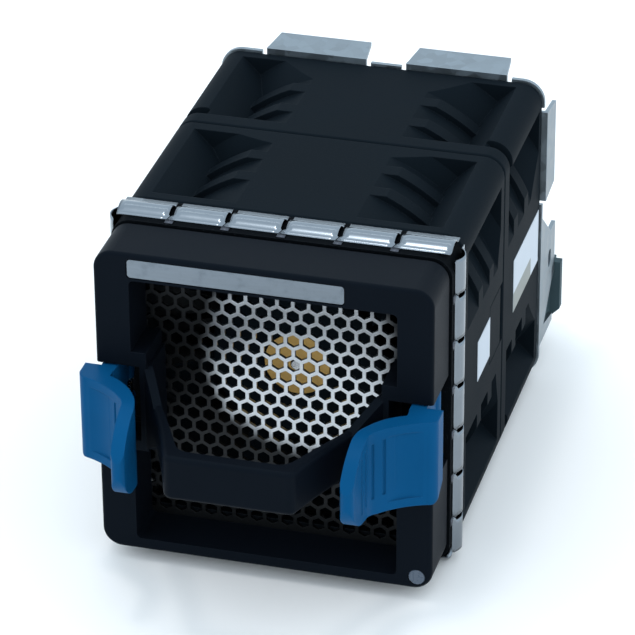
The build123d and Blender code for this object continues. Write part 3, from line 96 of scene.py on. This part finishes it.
# Patterns of the finishes: how large their patches are, and the pitch of their lines
PLASTIC_DRIFT = 18 * MM
PLASTIC_WEAR = 5 * MM
STREAK = 0.5 * MM
DULL_SPOT = 3.2 * MM
WANDER_PATCH = 9 * MM
CRYSTAL = 2.6 * MM
SHEET_CLOUD = 7 * MM
SCRATCH = 0.35 * MM
PAINT_PEEL = 1.1 * MM
PAINT_SPECK = 0.4 * MM
BRASS_FILM = 2.4 * MM
RING_PITCH = 0.45 * MM
TURN_PITCH = 0.4 * MM
TRACK = 1.6 * MM
LABEL_FIBRE = 0.8 * MM
LABEL_SOIL = 6 * MM
ROD_CLOUD = 0.9 * MM

# Plastic's cool reflections, its paler edges from handling wear and a painted highlight, and the paint's
# bright wear
PLASTIC_TINT = (0.62, 0.86, 1.0, 1)
PLASTIC_WEAR_AND_HIGHLIGHT_LIFT = 0.012
PAINT_WORN = (0.10, 0.11, 0.12)

# Plain strip along the lower part of the rear label, as shares of the label
LABEL_BAND_COLOUR = (0.17, 0.18, 0.16)
LABEL_BAND_HEIGHT = 0.36
LABEL_BAND_LENGTH = 0.7
LABEL_BAND_FADE = 0.15 * MM

# Stage, its places and sizes in metres
FLOOR_HALF = 3.0
FLOOR_DROP = 0.05 * MM
FLOOR_CLOUD = 0.4
FLOOR_DARK = (0.95, 0.90, 0.86)
FLOOR_LIGHT = (0.97, 0.92, 0.88)
SKY_COLOUR = (0.80, 0.94, 1.06, 1)
KEY_PLACE = Vector((-0.1, -0.1, 0.9))
KEY_SIZE = (0.12, 0.12)
TUBE_PLACE = Vector((0, 0.46, 0.9))
TUBE_SIZE = (1.3, 0.05)

# Camera, as solved from the photograph's viewing angle. Its sensor is in millimetres
VIEW_AIM = Vector((0, 40 * MM, 42 * MM))
VIEW_SIDESTEP = -1.534 * MM
VIEW_RAISE = -4.547 * MM
VIEW_SENSOR = 36.0
VIEW_NEAR = 0.05
VIEW_FAR = 20.0


class Field:
    """A value or colour in a material. Arithmetic on it adds Math nodes."""

    def __init__(self, shade, socket):
        self.shade = shade
        self.socket = socket

    def math(self, operation, *values):
        """Result of one Math node on the values."""
        return self.shade.node("ShaderNodeMath", {"operation": operation}, dict(enumerate(values)))

    def __add__(self, other):
        return self.math("ADD", self, other)

    def __radd__(self, other):
        return self.math("ADD", other, self)

    def __sub__(self, other):
        return self.math("SUBTRACT", self, other)

    def __rsub__(self, other):
        return self.math("SUBTRACT", other, self)

    def __mul__(self, other):
        return self.math("MULTIPLY", self, other)

    def __rmul__(self, other):
        return self.math("MULTIPLY", other, self)

    def __pow__(self, other):
        return self.math("POWER", self, other)

    def above(self, level, width):
        """Rises smoothly from 0 to 1 as the value passes level, over width."""
        sockets = {"Value": self, "From Min": level - width / 2, "From Max": level + width / 2}
        return self.shade.node("ShaderNodeMapRange", {"interpolation_type": "SMOOTHSTEP"}, sockets)

    def within(self, low, high, width):
        """1 between low and high, and 0 outside, with soft ends."""
        return self.above(low, width) * (1 - self.above(high, width))

    def waves(self, pitch):
        """Sine waves from 0 to 1, one for each pitch of the value."""
        return self.math("SINE", self * (2 * pi / pitch)) * 0.5 + 0.5


class Shade:
    """A node material for one finish."""

    def __init__(self, name):
        self.material = bpy.data.materials.new(name)
        self.material.use_nodes = True
        self.tree = self.material.node_tree
        self.tree.nodes.clear()

    def node(self, kind, settings=None, inputs=None, output=0):
        """Adds a node, applies its settings and the values or links of its sockets, and returns an output."""
        made = self.tree.nodes.new(kind)
        for key, value in (settings or {}).items():
            setattr(made, key, value)
        for key, value in (inputs or {}).items():
            if isinstance(value, Field):
                self.tree.links.new(value.socket, made.inputs[key])
            else:
                made.inputs[key].default_value = value
        return Field(self, made.outputs[output])

    def place(self, stretch=(1, 1, 1)):
        """Object coordinates in metres, stretched along each axis."""
        coords = self.node("ShaderNodeTexCoord", output="Object")
        return self.node("ShaderNodeMapping", inputs={"Vector": coords, "Scale": stretch})

    def axis(self, index):
        """One object coordinate in metres."""
        coords = self.node("ShaderNodeTexCoord", output="Object")
        return self.node("ShaderNodeSeparateXYZ", inputs={0: coords}, output=index)

    def from_centre(self, x, z):
        """Distance in metres from the line along Y through x and z."""
        across = self.axis(0) - x
        up = self.axis(2) - z
        return (across * across + up * up) ** 0.5

    def noise(self, size, detail=3.0, rough=0.5, stretch=(1, 1, 1)):
        """Cloudy field from 0 to 1 whose patches are about size metres across."""
        sockets = {"Vector": self.place(stretch), "Scale": 1 / size, "Detail": detail, "Roughness": rough}
        return self.node("ShaderNodeTexNoise", inputs=sockets)

    def cells(self, size):
        """Random grey for each crystal of about size metres across."""
        sockets = {"Vector": self.place(), "Scale": 1 / size}
        return self.node("ShaderNodeSeparateColor",
                         inputs={0: self.node("ShaderNodeTexVoronoi", inputs=sockets, output="Color")})

    def rounded(self, radius):
        """Normal of the surface with its edges rounded by radius metres."""
        return self.node("ShaderNodeBevel", {"samples": BEVEL_SAMPLES}, {"Radius": radius})

    def edges(self, radius):
        """Near 1 within radius metres of a sharp edge, and 0 on open faces."""
        sockets = {0: self.rounded(radius), 1: self.node("ShaderNodeNewGeometry", output="Normal")}
        match = self.node("ShaderNodeVectorMath", {"operation": "DOT_PRODUCT"}, sockets, "Value")
        return (1 - match).above(EDGE_LEVEL, EDGE_FADE)

    def colour(self, value):
        """Colour as a node's socket takes it."""
        return value if isinstance(value, Field) else (*value[:3], 1)

    def mix(self, share, first, second):
        """Colour between first and second."""
        sockets = {0: share, 6: self.colour(first), 7: self.colour(second)}
        return self.node("ShaderNodeMix", {"data_type": "RGBA"}, sockets, output=2)

    def tones(self, share, colour, dark, light):
        """One colour, between two strengths of it."""
        return self.mix(share, scaled(colour, dark), scaled(colour, light))

    def relief(self, height, depth, radius=0.0):
        """Normal of a surface whose height runs from 0 to depth metres, with edges rounded by radius."""
        sockets = {"Height": height, "Distance": depth, "Strength": 1.0}
        if radius > 0:
            sockets["Normal"] = self.rounded(radius)
        return self.node("ShaderNodeBump", inputs=sockets)

    def finish(self, base, **inputs):
        """Closes the material with the surface shader."""
        named = {key.replace("_", " "): value for key, value in inputs.items()}
        surface = self.node("ShaderNodeBsdfPrincipled", inputs={"Base Color": self.colour(base), **named})
        made = self.tree.nodes.new("ShaderNodeOutputMaterial")
        self.tree.links.new(surface.socket, made.inputs["Surface"])
        return self.material


def scaled(colour, share):
    """Colour made lighter or darker."""
    return tuple(min(1.0, part * share) for part in colour[:3])


def moulded(name, colour, rough, grain=0.35 * MM, depth=0.02 * MM, wear_and_highlight=0.25, radius=0.25 * MM, level=0.034):
    """Moulded plastic: fine spark grain, slow shade drift, and edges slightly paler, partly from handling
    wear and partly as a painted highlight.
    """
    shade = Shade(name)
    drift = shade.noise(PLASTIC_DRIFT, detail=2)
    fine = shade.noise(grain, detail=2, rough=0.6)
    # Paler edges: partly handling wear, partly a painted highlight
    wear_and_highlight_edges = shade.edges(radius) * shade.noise(PLASTIC_WEAR) * wear_and_highlight
    pale = scaled([part + PLASTIC_WEAR_AND_HIGHLIGHT_LIFT for part in colour[:3]], 2.2)
    base = shade.mix(wear_and_highlight_edges, shade.tones(drift, colour, dark=0.86, light=1.16), pale)
    roughness = rough + 0.10 * (drift - 0.5) + 0.12 * (fine - 0.5)
    return shade.finish(base, Roughness=roughness, Normal=shade.relief(fine, depth, radius),
                        Specular_IOR_Level=level, Specular_Tint=PLASTIC_TINT)


def rolled(name, colour, rough, along=(1, 1, 1), depth=0.004 * MM, spots=0.1, drift=0.15):
    """Rolled or drawn metal: streaks along one direction, small dull spots and rounded edges."""
    shade = Shade(name)
    streaks = shade.noise(STREAK, rough=0.6, stretch=along)
    dull = shade.noise(DULL_SPOT, detail=4, rough=0.6).above(0.58, width=0.2)
    tones = shade.tones(streaks, colour, dark=0.86, light=1.1)
    base = shade.mix(dull * spots, tones, scaled(colour, 0.55))
    return shade.finish(base, Metallic=1.0, Roughness=rough + drift * (streaks - 0.5 + dull),
                        Normal=shade.relief(streaks, depth, METAL_EDGE))


def stamped(name, colour):
    """Stamped steel sheet with a painted pool of light: bright in a round patch by its middle, and darkened
    as painted shade and duller further out.
    """
    shade = Shade(name)
    grain = shade.noise(STREAK, rough=0.6, stretch=(0.15, 1, 1))
    # Painted light: the colour is bright inside a round patch with a wandering rim and darkened outside it as
    # painted shade, where the roughness also rises
    wander = (shade.noise(WANDER_PATCH, detail=2) - 0.5) * PAINTED_LIGHT_WANDER
    dull = (shade.from_centre(PAINTED_LIGHT_X, PAINTED_LIGHT_Z) + wander).above(PAINTED_LIGHT_R, PAINTED_LIGHT_FADE)
    base = shade.mix(dull, shade.tones(grain, colour, dark=0.88, light=1.1), scaled(colour, 0.05))
    return shade.finish(base, Metallic=1.0, Roughness=0.3 + 0.16 * dull + 0.1 * (grain - 0.5),
                        Normal=shade.relief(grain, depth=0.004 * MM, radius=METAL_EDGE))


def galvanised(name, colour):
    """Galvanised sheet: pale crystals of several greys, faint scratches and brighter cut edges."""
    shade = Shade(name)
    crystal = shade.cells(CRYSTAL)
    cloud = shade.noise(SHEET_CLOUD)
    scratch = shade.noise(SCRATCH, detail=2, stretch=(1, 1, 0.05))
    tones = shade.tones(crystal, colour, dark=0.78, light=1.14)
    base = shade.mix(cloud * 0.4, tones, scaled(colour, 0.7))
    base = shade.mix(shade.edges(SHEET_CUT) * 0.5, base, scaled(colour, 1.5))
    return shade.finish(base, Metallic=0.92, Roughness=0.34 + 0.16 * crystal + 0.12 * (scratch - 0.5),
                        Normal=shade.relief(scratch, depth=0.006 * MM, radius=SHEET_EDGE))


def painted(name, colour, rough):
    """Black paint on sheet: light orange peel, dust-fine speckle and thin bright edges."""
    shade = Shade(name)
    peel = shade.noise(PAINT_PEEL, detail=2, rough=0.4)
    speck = shade.noise(PAINT_SPECK).above(0.66, width=0.1)
    base = shade.mix(speck * 0.1, shade.tones(peel, colour, dark=0.85, light=1.15), PAINT_WORN)
    base = shade.mix(shade.edges(PAINT_EDGE) * 0.12, base, PAINT_WORN)
    return shade.finish(base, Roughness=rough + 0.1 * (peel - 0.5), Specular_IOR_Level=0.012,
                        Normal=shade.relief(peel, depth=0.012 * MM, radius=PAINT_EDGE))


def machined(name, colour, rough, node):
    """Turned brass: fine rings about the centre plane at the node's middle height, and a darker film."""
    shade = Shade(name)
    low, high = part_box(node)
    rings = shade.from_centre(0, (low.z + high.z) / 2).waves(RING_PITCH)
    film = shade.noise(BRASS_FILM, detail=4)
    return shade.finish(shade.tones(film, colour, dark=0.82, light=1.12), Metallic=1.0,
                        Roughness=rough + 0.1 * film + 0.06 * rings,
                        Normal=shade.relief(rings, depth=0.006 * MM, radius=BRASS_EDGE))


def label_paper(name, colour, band=None):
    """Bare coated label: faint fibre and soft soiling. band is a plain strip's colour, top, start and end."""
    shade = Shade(name)
    fibre = shade.noise(LABEL_FIBRE, detail=4, rough=0.6)
    soil = shade.noise(LABEL_SOIL)
    tones = shade.tones(fibre, colour, dark=0.93, light=1.05)
    base = shade.mix(soil * 0.25, tones, scaled(colour, 0.8))
    if band:
        tint, top, start, end = band
        below = 1 - shade.axis(2).above(top, LABEL_BAND_FADE)
        strip = below * shade.axis(1).within(start, end, LABEL_BAND_FADE)
        base = shade.mix(strip, base, shade.tones(soil, tint, dark=0.85, light=1.1))
    return shade.finish(base, Roughness=0.42 + 0.1 * (fibre - 0.5),
                        Normal=shade.relief(fibre, depth=0.004 * MM))


def clear_light(name, colour):
    """Milky clear rod: a bluish body with faint clouds under a thin gloss."""
    shade = Shade(name)
    cloud = shade.noise(ROD_CLOUD)
    return shade.finish(shade.tones(cloud, colour, dark=0.8, light=1.25), Roughness=0.22 + 0.12 * cloud,
                        Coat_Weight=0.4, Normal=shade.relief(cloud, depth=0.01 * MM, radius=ROD_EDGE))


def wound_copper(name, colour):
    """Enamelled winding: close turns, with painted shade darkening the gaps between them."""
    shade = Shade(name)
    turns = shade.axis(1).waves(TURN_PITCH)
    return shade.finish(shade.tones(turns, colour, dark=0.45, light=1.1), Metallic=0.8,
                        Roughness=0.34 + 0.1 * turns, Normal=shade.relief(turns, depth=0.05 * MM))


def circuit_board(name, colour):
    """Board with a glossy mask over faint copper tracks."""
    shade = Shade(name)
    tracks = shade.cells(TRACK).above(0.6, width=0.1)
    return shade.finish(shade.tones(tracks, colour, dark=1, light=1.7), Roughness=0.3 + 0.1 * tracks,
                        Normal=shade.relief(tracks, depth=0.02 * MM))


def dress(material, *names):
    """Gives CAD nodes a finish."""
    for name in names:
        mesh = NODES[name].data
        mesh.materials.clear()
        mesh.materials.append(material)


def add_piece(name, points, faces, material, body):
    """Makes a smooth mesh piece that rides on a body."""
    mesh = bpy.data.meshes.new(name)
    mesh.from_pydata([tuple(point) for point in points], [], [tuple(face) for face in faces])
    mesh.update()
    mesh.materials.append(material)
    mesh.polygons.foreach_set("use_smooth", np.full(len(mesh.polygons), True))
    piece = bpy.data.objects.new(name, mesh)
    bpy.context.scene.collection.objects.link(piece)
    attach(piece, body)
    return piece


def grid_faces(rows, columns, start):
    """Quads of a rows by columns grid of points numbered from start."""
    first = start + np.arange(rows - 1)[:, None] * columns + np.arange(columns - 1)[None, :]
    return np.stack([first, first + 1, first + columns + 1, first + columns], -1).reshape(-1, 4)


def strip_line(front, back, foot, peak):
    """Side line of a finger: flat foot, one round hump of height peak, then a flat band at the back.

    The hump is half a sine wave in depth, filled out a little by a power below one. Both flats stand at foot.
    """
    hump_start = front + STRIP_FOOT
    hump_end = back - STRIP_BAND
    share = np.concatenate([np.linspace(0, 1, HUMP_POINTS)[:-1], [HUMP_LAST_SHARE, 1]])
    hump_y = hump_start + (hump_end - hump_start) * share
    hump_z = foot + (peak - foot) * np.sin(pi * share) ** HUMP_FULLNESS
    band_y = hump_end + (back - hump_end) * np.array(BAND_SHARES)
    depth = np.concatenate([[front], hump_y, band_y])
    height = np.concatenate([[foot], hump_z, np.full(len(BAND_SHARES), foot)])
    return depth, height


def finger_points(depth, height, left, right, crown):
    """One finger as a grid: the side line carried from its left edge to its right edge.

    Each edge is straight behind and slants to one side over the first stretch, where the cut is a hairline.
    Both edges dip by crown, by the fourth power of the distance from the finger's middle.
    """
    share = np.linspace(0, 1, FINGER_COLUMNS)[None, :]
    along = depth - depth[0]
    room = np.where(along < STRIP_HAIRLINE_REACH, STRIP_HAIRLINE, STRIP_SLIT) / 2
    shift = np.clip(1 - along / STRIP_HAIRLINE_REACH, 0, 1) * STRIP_HAIRLINE_SHIFT
    start = (left + room + shift)[:, None]
    end = (right - room + shift)[:, None]
    across = start + (end - start) * share
    dip = crown * np.abs(2 * share - 1) ** FINGER_CROWN_POWER * (height / height.max())[:, None]
    up = height[:, None] - dip
    return np.stack([across, np.broadcast_to(depth[:, None], across.shape), up], -1).reshape(-1, 3)


def hook_points(middle, depth, top):
    """Tongue that holds the strip on its carrier: a small rectangle lying in front of the slit."""
    left, right = middle - HOOK_WIDTH / 2, middle + HOOK_WIDTH / 2
    front = depth - HOOK_REACH
    return np.array([(left, front, top), (right, front, top), (left, depth, top), (right, depth, top)])


class TrayFinish(bpy.types.PropertyGroup):
    """Colours and surface values of the tray."""

    bezel_colour: bpy.props.FloatVectorProperty(
        name="Bezel", description="Colour of the bezel's plastic",
        subtype="COLOR", size=3, default=(0.0034, 0.0048, 0.0076), min=0, max=1)
    fan_colour: bpy.props.FloatVectorProperty(
        name="Fans", description="Colour of the fans' plastic",
        subtype="COLOR", size=3, default=(0.0052, 0.0080, 0.0108), min=0, max=1)
    latch_colour: bpy.props.FloatVectorProperty(
        name="Latches", description="Colour of the squeeze latches",
        subtype="COLOR", size=3, default=(0.002, 0.061, 0.158), min=0, max=1)
    strip_colour: bpy.props.FloatVectorProperty(
        name="Contact strips", description="Colour of the sprung strips",
        subtype="COLOR", size=3, default=(0.21, 0.235, 0.26), min=0, max=1)
    plate_colour: bpy.props.FloatVectorProperty(
        name="Rear plate", description="Colour of the galvanised sheet",
        subtype="COLOR", size=3, default=(0.23, 0.265, 0.29), min=0, max=1)
    brass_colour: bpy.props.FloatVectorProperty(
        name="Brass", description="Colour of the hub's centre",
        subtype="COLOR", size=3, default=(0.60, 0.37, 0.12), min=0, max=1)
    label_colour: bpy.props.FloatVectorProperty(
        name="Labels", description="Colour of the bare labels",
        subtype="COLOR", size=3, default=(0.46, 0.50, 0.55), min=0, max=1)
    finger_crown: bpy.props.FloatProperty(
        name="Finger crown", description="How far the edges of a finger dip",
        subtype="DISTANCE", unit="LENGTH", default=0.03 * MM, min=0, max=0.5 * MM)
    strip_thickness: bpy.props.FloatProperty(
        name="Strip thickness", description="Thickness of the sprung sheet",
        subtype="DISTANCE", unit="LENGTH", default=0.25 * MM, min=0.05 * MM, max=0.3 * MM)


class TrayStage(bpy.types.PropertyGroup):
    """Camera and light."""

    azimuth: bpy.props.FloatProperty(
        name="Azimuth", description="Camera's turn to the right of the front view",
        subtype="ANGLE", unit="ROTATION", default=radians(15.558))
    elevation: bpy.props.FloatProperty(
        name="Elevation", description="Camera's height above the horizon",
        subtype="ANGLE", unit="ROTATION", default=radians(29.461))
    roll: bpy.props.FloatProperty(
        name="Roll", description="Camera's turn about its own axis",
        subtype="ANGLE", unit="ROTATION", default=radians(-0.43))
    distance: bpy.props.FloatProperty(
        name="Distance", description="From the camera to the aimed point",
        subtype="DISTANCE", unit="LENGTH", default=912.795 * MM)
    lens: bpy.props.FloatProperty(
        name="Lens", description="Focal length in millimetres", default=221.85)
    sky: bpy.props.FloatProperty(
        name="Surround", description="Strength of the even pale surround", default=1.45, min=0)
    key: bpy.props.FloatProperty(
        name="Key light", description="Power of the soft light overhead",
        subtype="POWER", unit="POWER", default=1.0, min=0)
    tube: bpy.props.FloatProperty(
        name="Tube light", description="Power of the long thin light",
        subtype="POWER", unit="POWER", default=0.45, min=0)


class TRAY_OT_bezel(bpy.types.Operator):
    """Finishes the bezel, its nameplate and its light"""

    bl_idname = "tray.bezel"
    bl_label = "Finish the bezel"

    def execute(self, context):
        finish = context.scene.tray_finish
        dress(moulded("bezel plastic", finish.bezel_colour, 0.46), "bezel")
        dress(rolled("nameplate metal", (0.20, 0.23, 0.26), 0.42, along=(0.08, 1, 1)), "nameplate")
        dress(clear_light("light pipe", (0.055, 0.075, 0.105)), "status_light_pipe")
        return {"FINISHED"}


class TRAY_OT_latches(bpy.types.Operator):
    """Finishes the two squeeze latches with their pins and springs"""

    bl_idname = "tray.latches"
    bl_label = "Finish the latches"

    def execute(self, context):
        finish = context.scene.tray_finish
        blue = moulded("latch plastic", finish.latch_colour, 0.38,
                       grain=0.45 * MM, radius=0.5 * MM, level=0.04)
        dress(blue, "right_latch", "left_latch")
        steel = rolled("spring steel", (0.55, 0.56, 0.58), 0.25)
        dress(steel, "right_latch_pin", "left_latch_pin", "right_latch_spring", "left_latch_spring")
        return {"FINISHED"}


class TRAY_OT_grille(bpy.types.Operator):
    """Finishes the perforated grille"""

    bl_idname = "tray.grille"
    bl_label = "Finish the grille"

    def execute(self, context):
        dress(stamped("grille metal", (0.52, 0.54, 0.56)), "front_grille")
        return {"FINISHED"}


class TRAY_OT_strips(bpy.types.Operator):
    """Makes the sprung contact strips and finishes their carrier"""

    bl_idname = "tray.strips"
    bl_label = "Make the contact strips"

    def execute(self, context):
        finish = context.scene.tray_finish
        dress(painted("carrier paint", (0.0028, 0.0036, 0.0046), 0.6), "gasket_carrier")
        look = {"depth": 0.005 * MM, "spots": 0.08, "drift": 0.04}
        wide = rolled("wide strip steel", finish.strip_colour, 0.2, along=(0.02, 1, 1), **look)
        tall = rolled("tall strip steel", finish.strip_colour, 0.2, along=(1, 1, 0.02), **look)
        # The hooks get the strips' own steel darkened as painted shade
        painted_shade_steel = rolled("hook steel in painted shade", (0.08, 0.085, 0.10), 0.4)
        for node, angle in (("top_gasket_strip", 0), ("bottom_gasket_strip", 180)):
            self.strip(node, angle, WIDE_SLITS, WIDE_PITCH, wide, painted_shade_steel, finish)
        for node, angle in (("right_gasket_strip", 90), ("left_gasket_strip", -90)):
            self.strip(node, angle, TALL_SLITS, TALL_PITCH, tall, painted_shade_steel, finish)
        return {"FINISHED"}

    def strip(self, node, angle, slits, pitch, metal, painted_shade_steel, finish):
        """One strip: its fingers side by side, drawn as the top strip and turned about the fans' axis."""
        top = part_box("top_gasket_strip")[1]
        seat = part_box("gasket_carrier")[1].z
        low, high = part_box(node)
        half = (high.x - low.x if angle in (0, 180) else high.z - low.z) / 2
        front = top.y - STRIP_DEPTH
        depth, height = strip_line(front, top.y, finish.strip_thickness, top.z - seat)
        cuts = [(index - (slits - 1) / 2) * pitch for index in range(slits)]
        bounds = [-half - STRIP_SLIT / 2, *cuts, half + STRIP_SLIT / 2]
        points = []
        faces = []
        for index, (left, right) in enumerate(zip(bounds[:-1], bounds[1:])):
            grid = finger_points(depth, height, left, right, finish.finger_crown)
            grid[:, 0] = np.clip(grid[:, 0], -half, half)
            faces.append(grid_faces(len(depth), FINGER_COLUMNS, index * len(grid)))
            points.append(grid)
        piece = self.sheet(node + "_fingers", points, faces, angle, metal, finish)
        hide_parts(node)
        points = [hook_points(cut, front, finish.strip_thickness) for cut in cuts]
        faces = [grid_faces(2, 2, index * len(points[0])) for index in range(slits)]
        self.sheet(node + "_hooks", points, faces, angle, painted_shade_steel, finish)

    def sheet(self, name, points, faces, angle, metal, finish):
        """Thin sheet piece drawn on the top strip's seat, then turned about the fans' axis."""
        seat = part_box("gasket_carrier")[1].z
        centre_z = (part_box("rear_plate")[0].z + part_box("rear_plate")[1].z) / 2
        turn = np.array(Matrix.Rotation(radians(angle), 3, "Y"))
        points = np.concatenate(points) + np.array([0, 0, seat - centre_z])
        points = points @ turn.T + np.array([0, 0, centre_z])
        piece = add_piece(name, points, np.concatenate(faces), metal, "tray")
        sheet = piece.modifiers.new("sheet", "SOLIDIFY")
        sheet.thickness = finish.strip_thickness
        sheet.offset = -1
        return piece


class TRAY_OT_fans(bpy.types.Operator):
    """Finishes the fan bodies, impellers and the parts inside their hubs"""

    bl_idname = "tray.fans"
    bl_label = "Finish the fans"

    def execute(self, context):
        finish = context.scene.tray_finish
        body = moulded("fan plastic", finish.fan_colour, 0.55, grain=0.5 * MM, depth=0.03 * MM, wear_and_highlight=0.3,
                       radius=0.3 * MM, level=0.016)
        dress(body, "front_fan_frame", "rear_fan_frame", "side_cover")
        blades = moulded("impeller plastic", finish.fan_colour, 0.36, grain=0.6 * MM, wear_and_highlight=0.15,
                         radius=0.3 * MM)
        dress(blades, "front_impeller", "rear_impeller")
        brass = machined("hub brass", finish.brass_colour, 0.3, "front_hub_boss")
        steel = rolled("motor steel", (0.42, 0.43, 0.45), 0.32, along=(1, 0.1, 1))
        bright = rolled("shaft steel", (0.66, 0.67, 0.69), 0.2)
        ferrite = moulded("magnet", (0.02, 0.019, 0.018), 0.6)
        copper = wound_copper("winding copper", (0.62, 0.24, 0.09))
        board = circuit_board("motor board", (0.01, 0.09, 0.035))
        for end in ("front_", "rear_"):
            dress(brass, end + "hub_boss", end + "bearing_tube")
            dress(steel, end + "rotor_cup", end + "stator")
            dress(bright, end + "shaft", end + "shaft_clip", end + "ball_bearings")
            dress(ferrite, end + "magnet_ring")
            dress(copper, end + "windings")
            dress(board, end + "motor_board")
        return {"FINISHED"}


class TRAY_OT_rear(bpy.types.Operator):
    """Finishes the rear plate, bracket, plug and fasteners"""

    bl_idname = "tray.rear"
    bl_label = "Finish the rear"

    def execute(self, context):
        finish = context.scene.tray_finish
        dress(galvanised("galvanised sheet", finish.plate_colour), "rear_plate", "connector_bracket")
        steel = rolled("screw steel", (0.5, 0.5, 0.5), 0.35)
        dress(steel, "rear_plate_screws", "carrier_screws", "bracket_rivets")
        dress(moulded("plug plastic", (0.046, 0.070, 0.078), 0.45, wear_and_highlight=0.3), "connector_housing")
        brass = machined("contact brass", finish.brass_colour, 0.28, "connector_contacts")
        dress(brass, "connector_contacts")
        return {"FINISHED"}


class TRAY_OT_labels(bpy.types.Operator):
    """Finishes the two bare labels"""

    bl_idname = "tray.labels"
    bl_label = "Finish the labels"

    def execute(self, context):
        colour = context.scene.tray_finish.label_colour
        low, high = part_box("rear_side_label")
        top = low.z + LABEL_BAND_HEIGHT * (high.z - low.z)
        end = low.y + LABEL_BAND_LENGTH * (high.y - low.y)
        band = (LABEL_BAND_COLOUR, top, low.y, end)
        dress(label_paper("rear label paper", colour, band), "rear_side_label")
        dress(label_paper("front label paper", colour), "front_side_label")
        return {"FINISHED"}


class TRAY_OT_stage(bpy.types.Operator):
    """Sets the pale floor, the soft lights and the camera"""

    bl_idname = "tray.stage"
    bl_label = "Set the stage"

    def execute(self, context):
        setup = context.scene.tray_stage
        self.floor()
        self.surround(context, setup.sky)
        self.light("key light", KEY_PLACE, KEY_SIZE, setup.key)
        self.light("tube light", TUBE_PLACE, TUBE_SIZE, setup.tube)
        self.camera(context, setup)
        context.scene.view_settings.view_transform = "Standard"
        return {"FINISHED"}

    def floor(self):
        """Large plain floor just under the tray."""
        half, down = FLOOR_HALF, -FLOOR_DROP
        corners = [(-half, -half, down), (half, -half, down), (half, half, down), (-half, half, down)]
        mesh = bpy.data.meshes.new("floor")
        mesh.from_pydata(corners, [], [(0, 1, 2, 3)])
        shade = Shade("floor paint")
        base = shade.mix(shade.noise(FLOOR_CLOUD, detail=2), FLOOR_DARK, FLOOR_LIGHT)
        mesh.materials.append(shade.finish(base, Roughness=0.7))
        floor = bpy.data.objects.new("floor", mesh)
        bpy.context.scene.collection.objects.link(floor)

    def surround(self, context, strength):
        """Even pale light from all around."""
        world = bpy.data.worlds.new("surround")
        world.use_nodes = True
        ground = world.node_tree.nodes["Background"]
        ground.inputs["Color"].default_value = SKY_COLOUR
        ground.inputs["Strength"].default_value = strength
        context.scene.world = world

    def light(self, name, place, size, power):
        """Rectangular lamp at place from the aimed point, and turned to it."""
        lamp = bpy.data.lights.new(name, "AREA")
        lamp.shape = "RECTANGLE"
        lamp.size, lamp.size_y = size
        lamp.energy = power
        made = bpy.data.objects.new(name, lamp)
        made.location = place + VIEW_AIM
        made.rotation_mode = "QUATERNION"
        made.rotation_quaternion = (-place).to_track_quat("-Z", "Y")
        bpy.context.scene.collection.objects.link(made)

    def camera(self, context, setup):
        """Camera at the photograph's viewing angle."""
        turn, rise, tilt = setup.azimuth, setup.elevation, setup.roll
        back = Vector((sin(turn) * cos(rise), -cos(turn) * cos(rise), sin(rise)))
        right = (-back).cross(Vector((0, 0, 1))).normalized()
        up = right.cross(-back)
        right, up = right * cos(tilt) + up * sin(tilt), up * cos(tilt) - right * sin(tilt)
        lens = bpy.data.cameras.new("photo camera")
        lens.sensor_width = VIEW_SENSOR
        lens.lens = setup.lens
        lens.clip_start = VIEW_NEAR
        lens.clip_end = VIEW_FAR
        made = bpy.data.objects.new("photo camera", lens)
        place = VIEW_AIM + back * setup.distance - right * VIEW_SIDESTEP - up * VIEW_RAISE
        made.matrix_world = Matrix.Translation(place) @ Matrix((right, up, back)).transposed().to_4x4()
        bpy.context.scene.collection.objects.link(made)
        context.scene.camera = made


class TRAY_PT_panel(bpy.types.Panel):
    """Lists the tray's steps and values"""

    bl_idname = "TRAY_PT_panel"
    bl_label = "Fan tray"
    bl_space_type = "VIEW_3D"
    bl_region_type = "UI"
    bl_category = "Fan tray"

    def draw(self, context):
        for operator in OPERATORS:
            self.layout.operator(operator.bl_idname)
        for group in (context.scene.tray_finish, context.scene.tray_stage):
            for name in group.bl_rna.properties.keys():
                if name not in ("rna_type", "name"):
                    self.layout.prop(group, name)


GROUPS = (TrayFinish, TrayStage)
OPERATORS = (TRAY_OT_bezel, TRAY_OT_latches, TRAY_OT_grille, TRAY_OT_strips, TRAY_OT_fans, TRAY_OT_rear,
             TRAY_OT_labels, TRAY_OT_stage)


def register():
    for made in (*GROUPS, *OPERATORS, TRAY_PT_panel):
        bpy.utils.register_class(made)
    bpy.types.Scene.tray_finish = bpy.props.PointerProperty(type=TrayFinish)
    bpy.types.Scene.tray_stage = bpy.props.PointerProperty(type=TrayStage)


def unregister():
    del bpy.types.Scene.tray_stage
    del bpy.types.Scene.tray_finish
    for made in (TRAY_PT_panel, *reversed(OPERATORS), *reversed(GROUPS)):
        bpy.utils.unregister_class(made)


def main():
    """Runs each step in order."""
    register()
    bpy.ops.tray.bezel()
    bpy.ops.tray.latches()
    bpy.ops.tray.grille()
    bpy.ops.tray.strips()
    bpy.ops.tray.fans()
    bpy.ops.tray.rear()
    bpy.ops.tray.labels()
    bpy.ops.tray.stage()


if __name__ == "__main__":
    main()
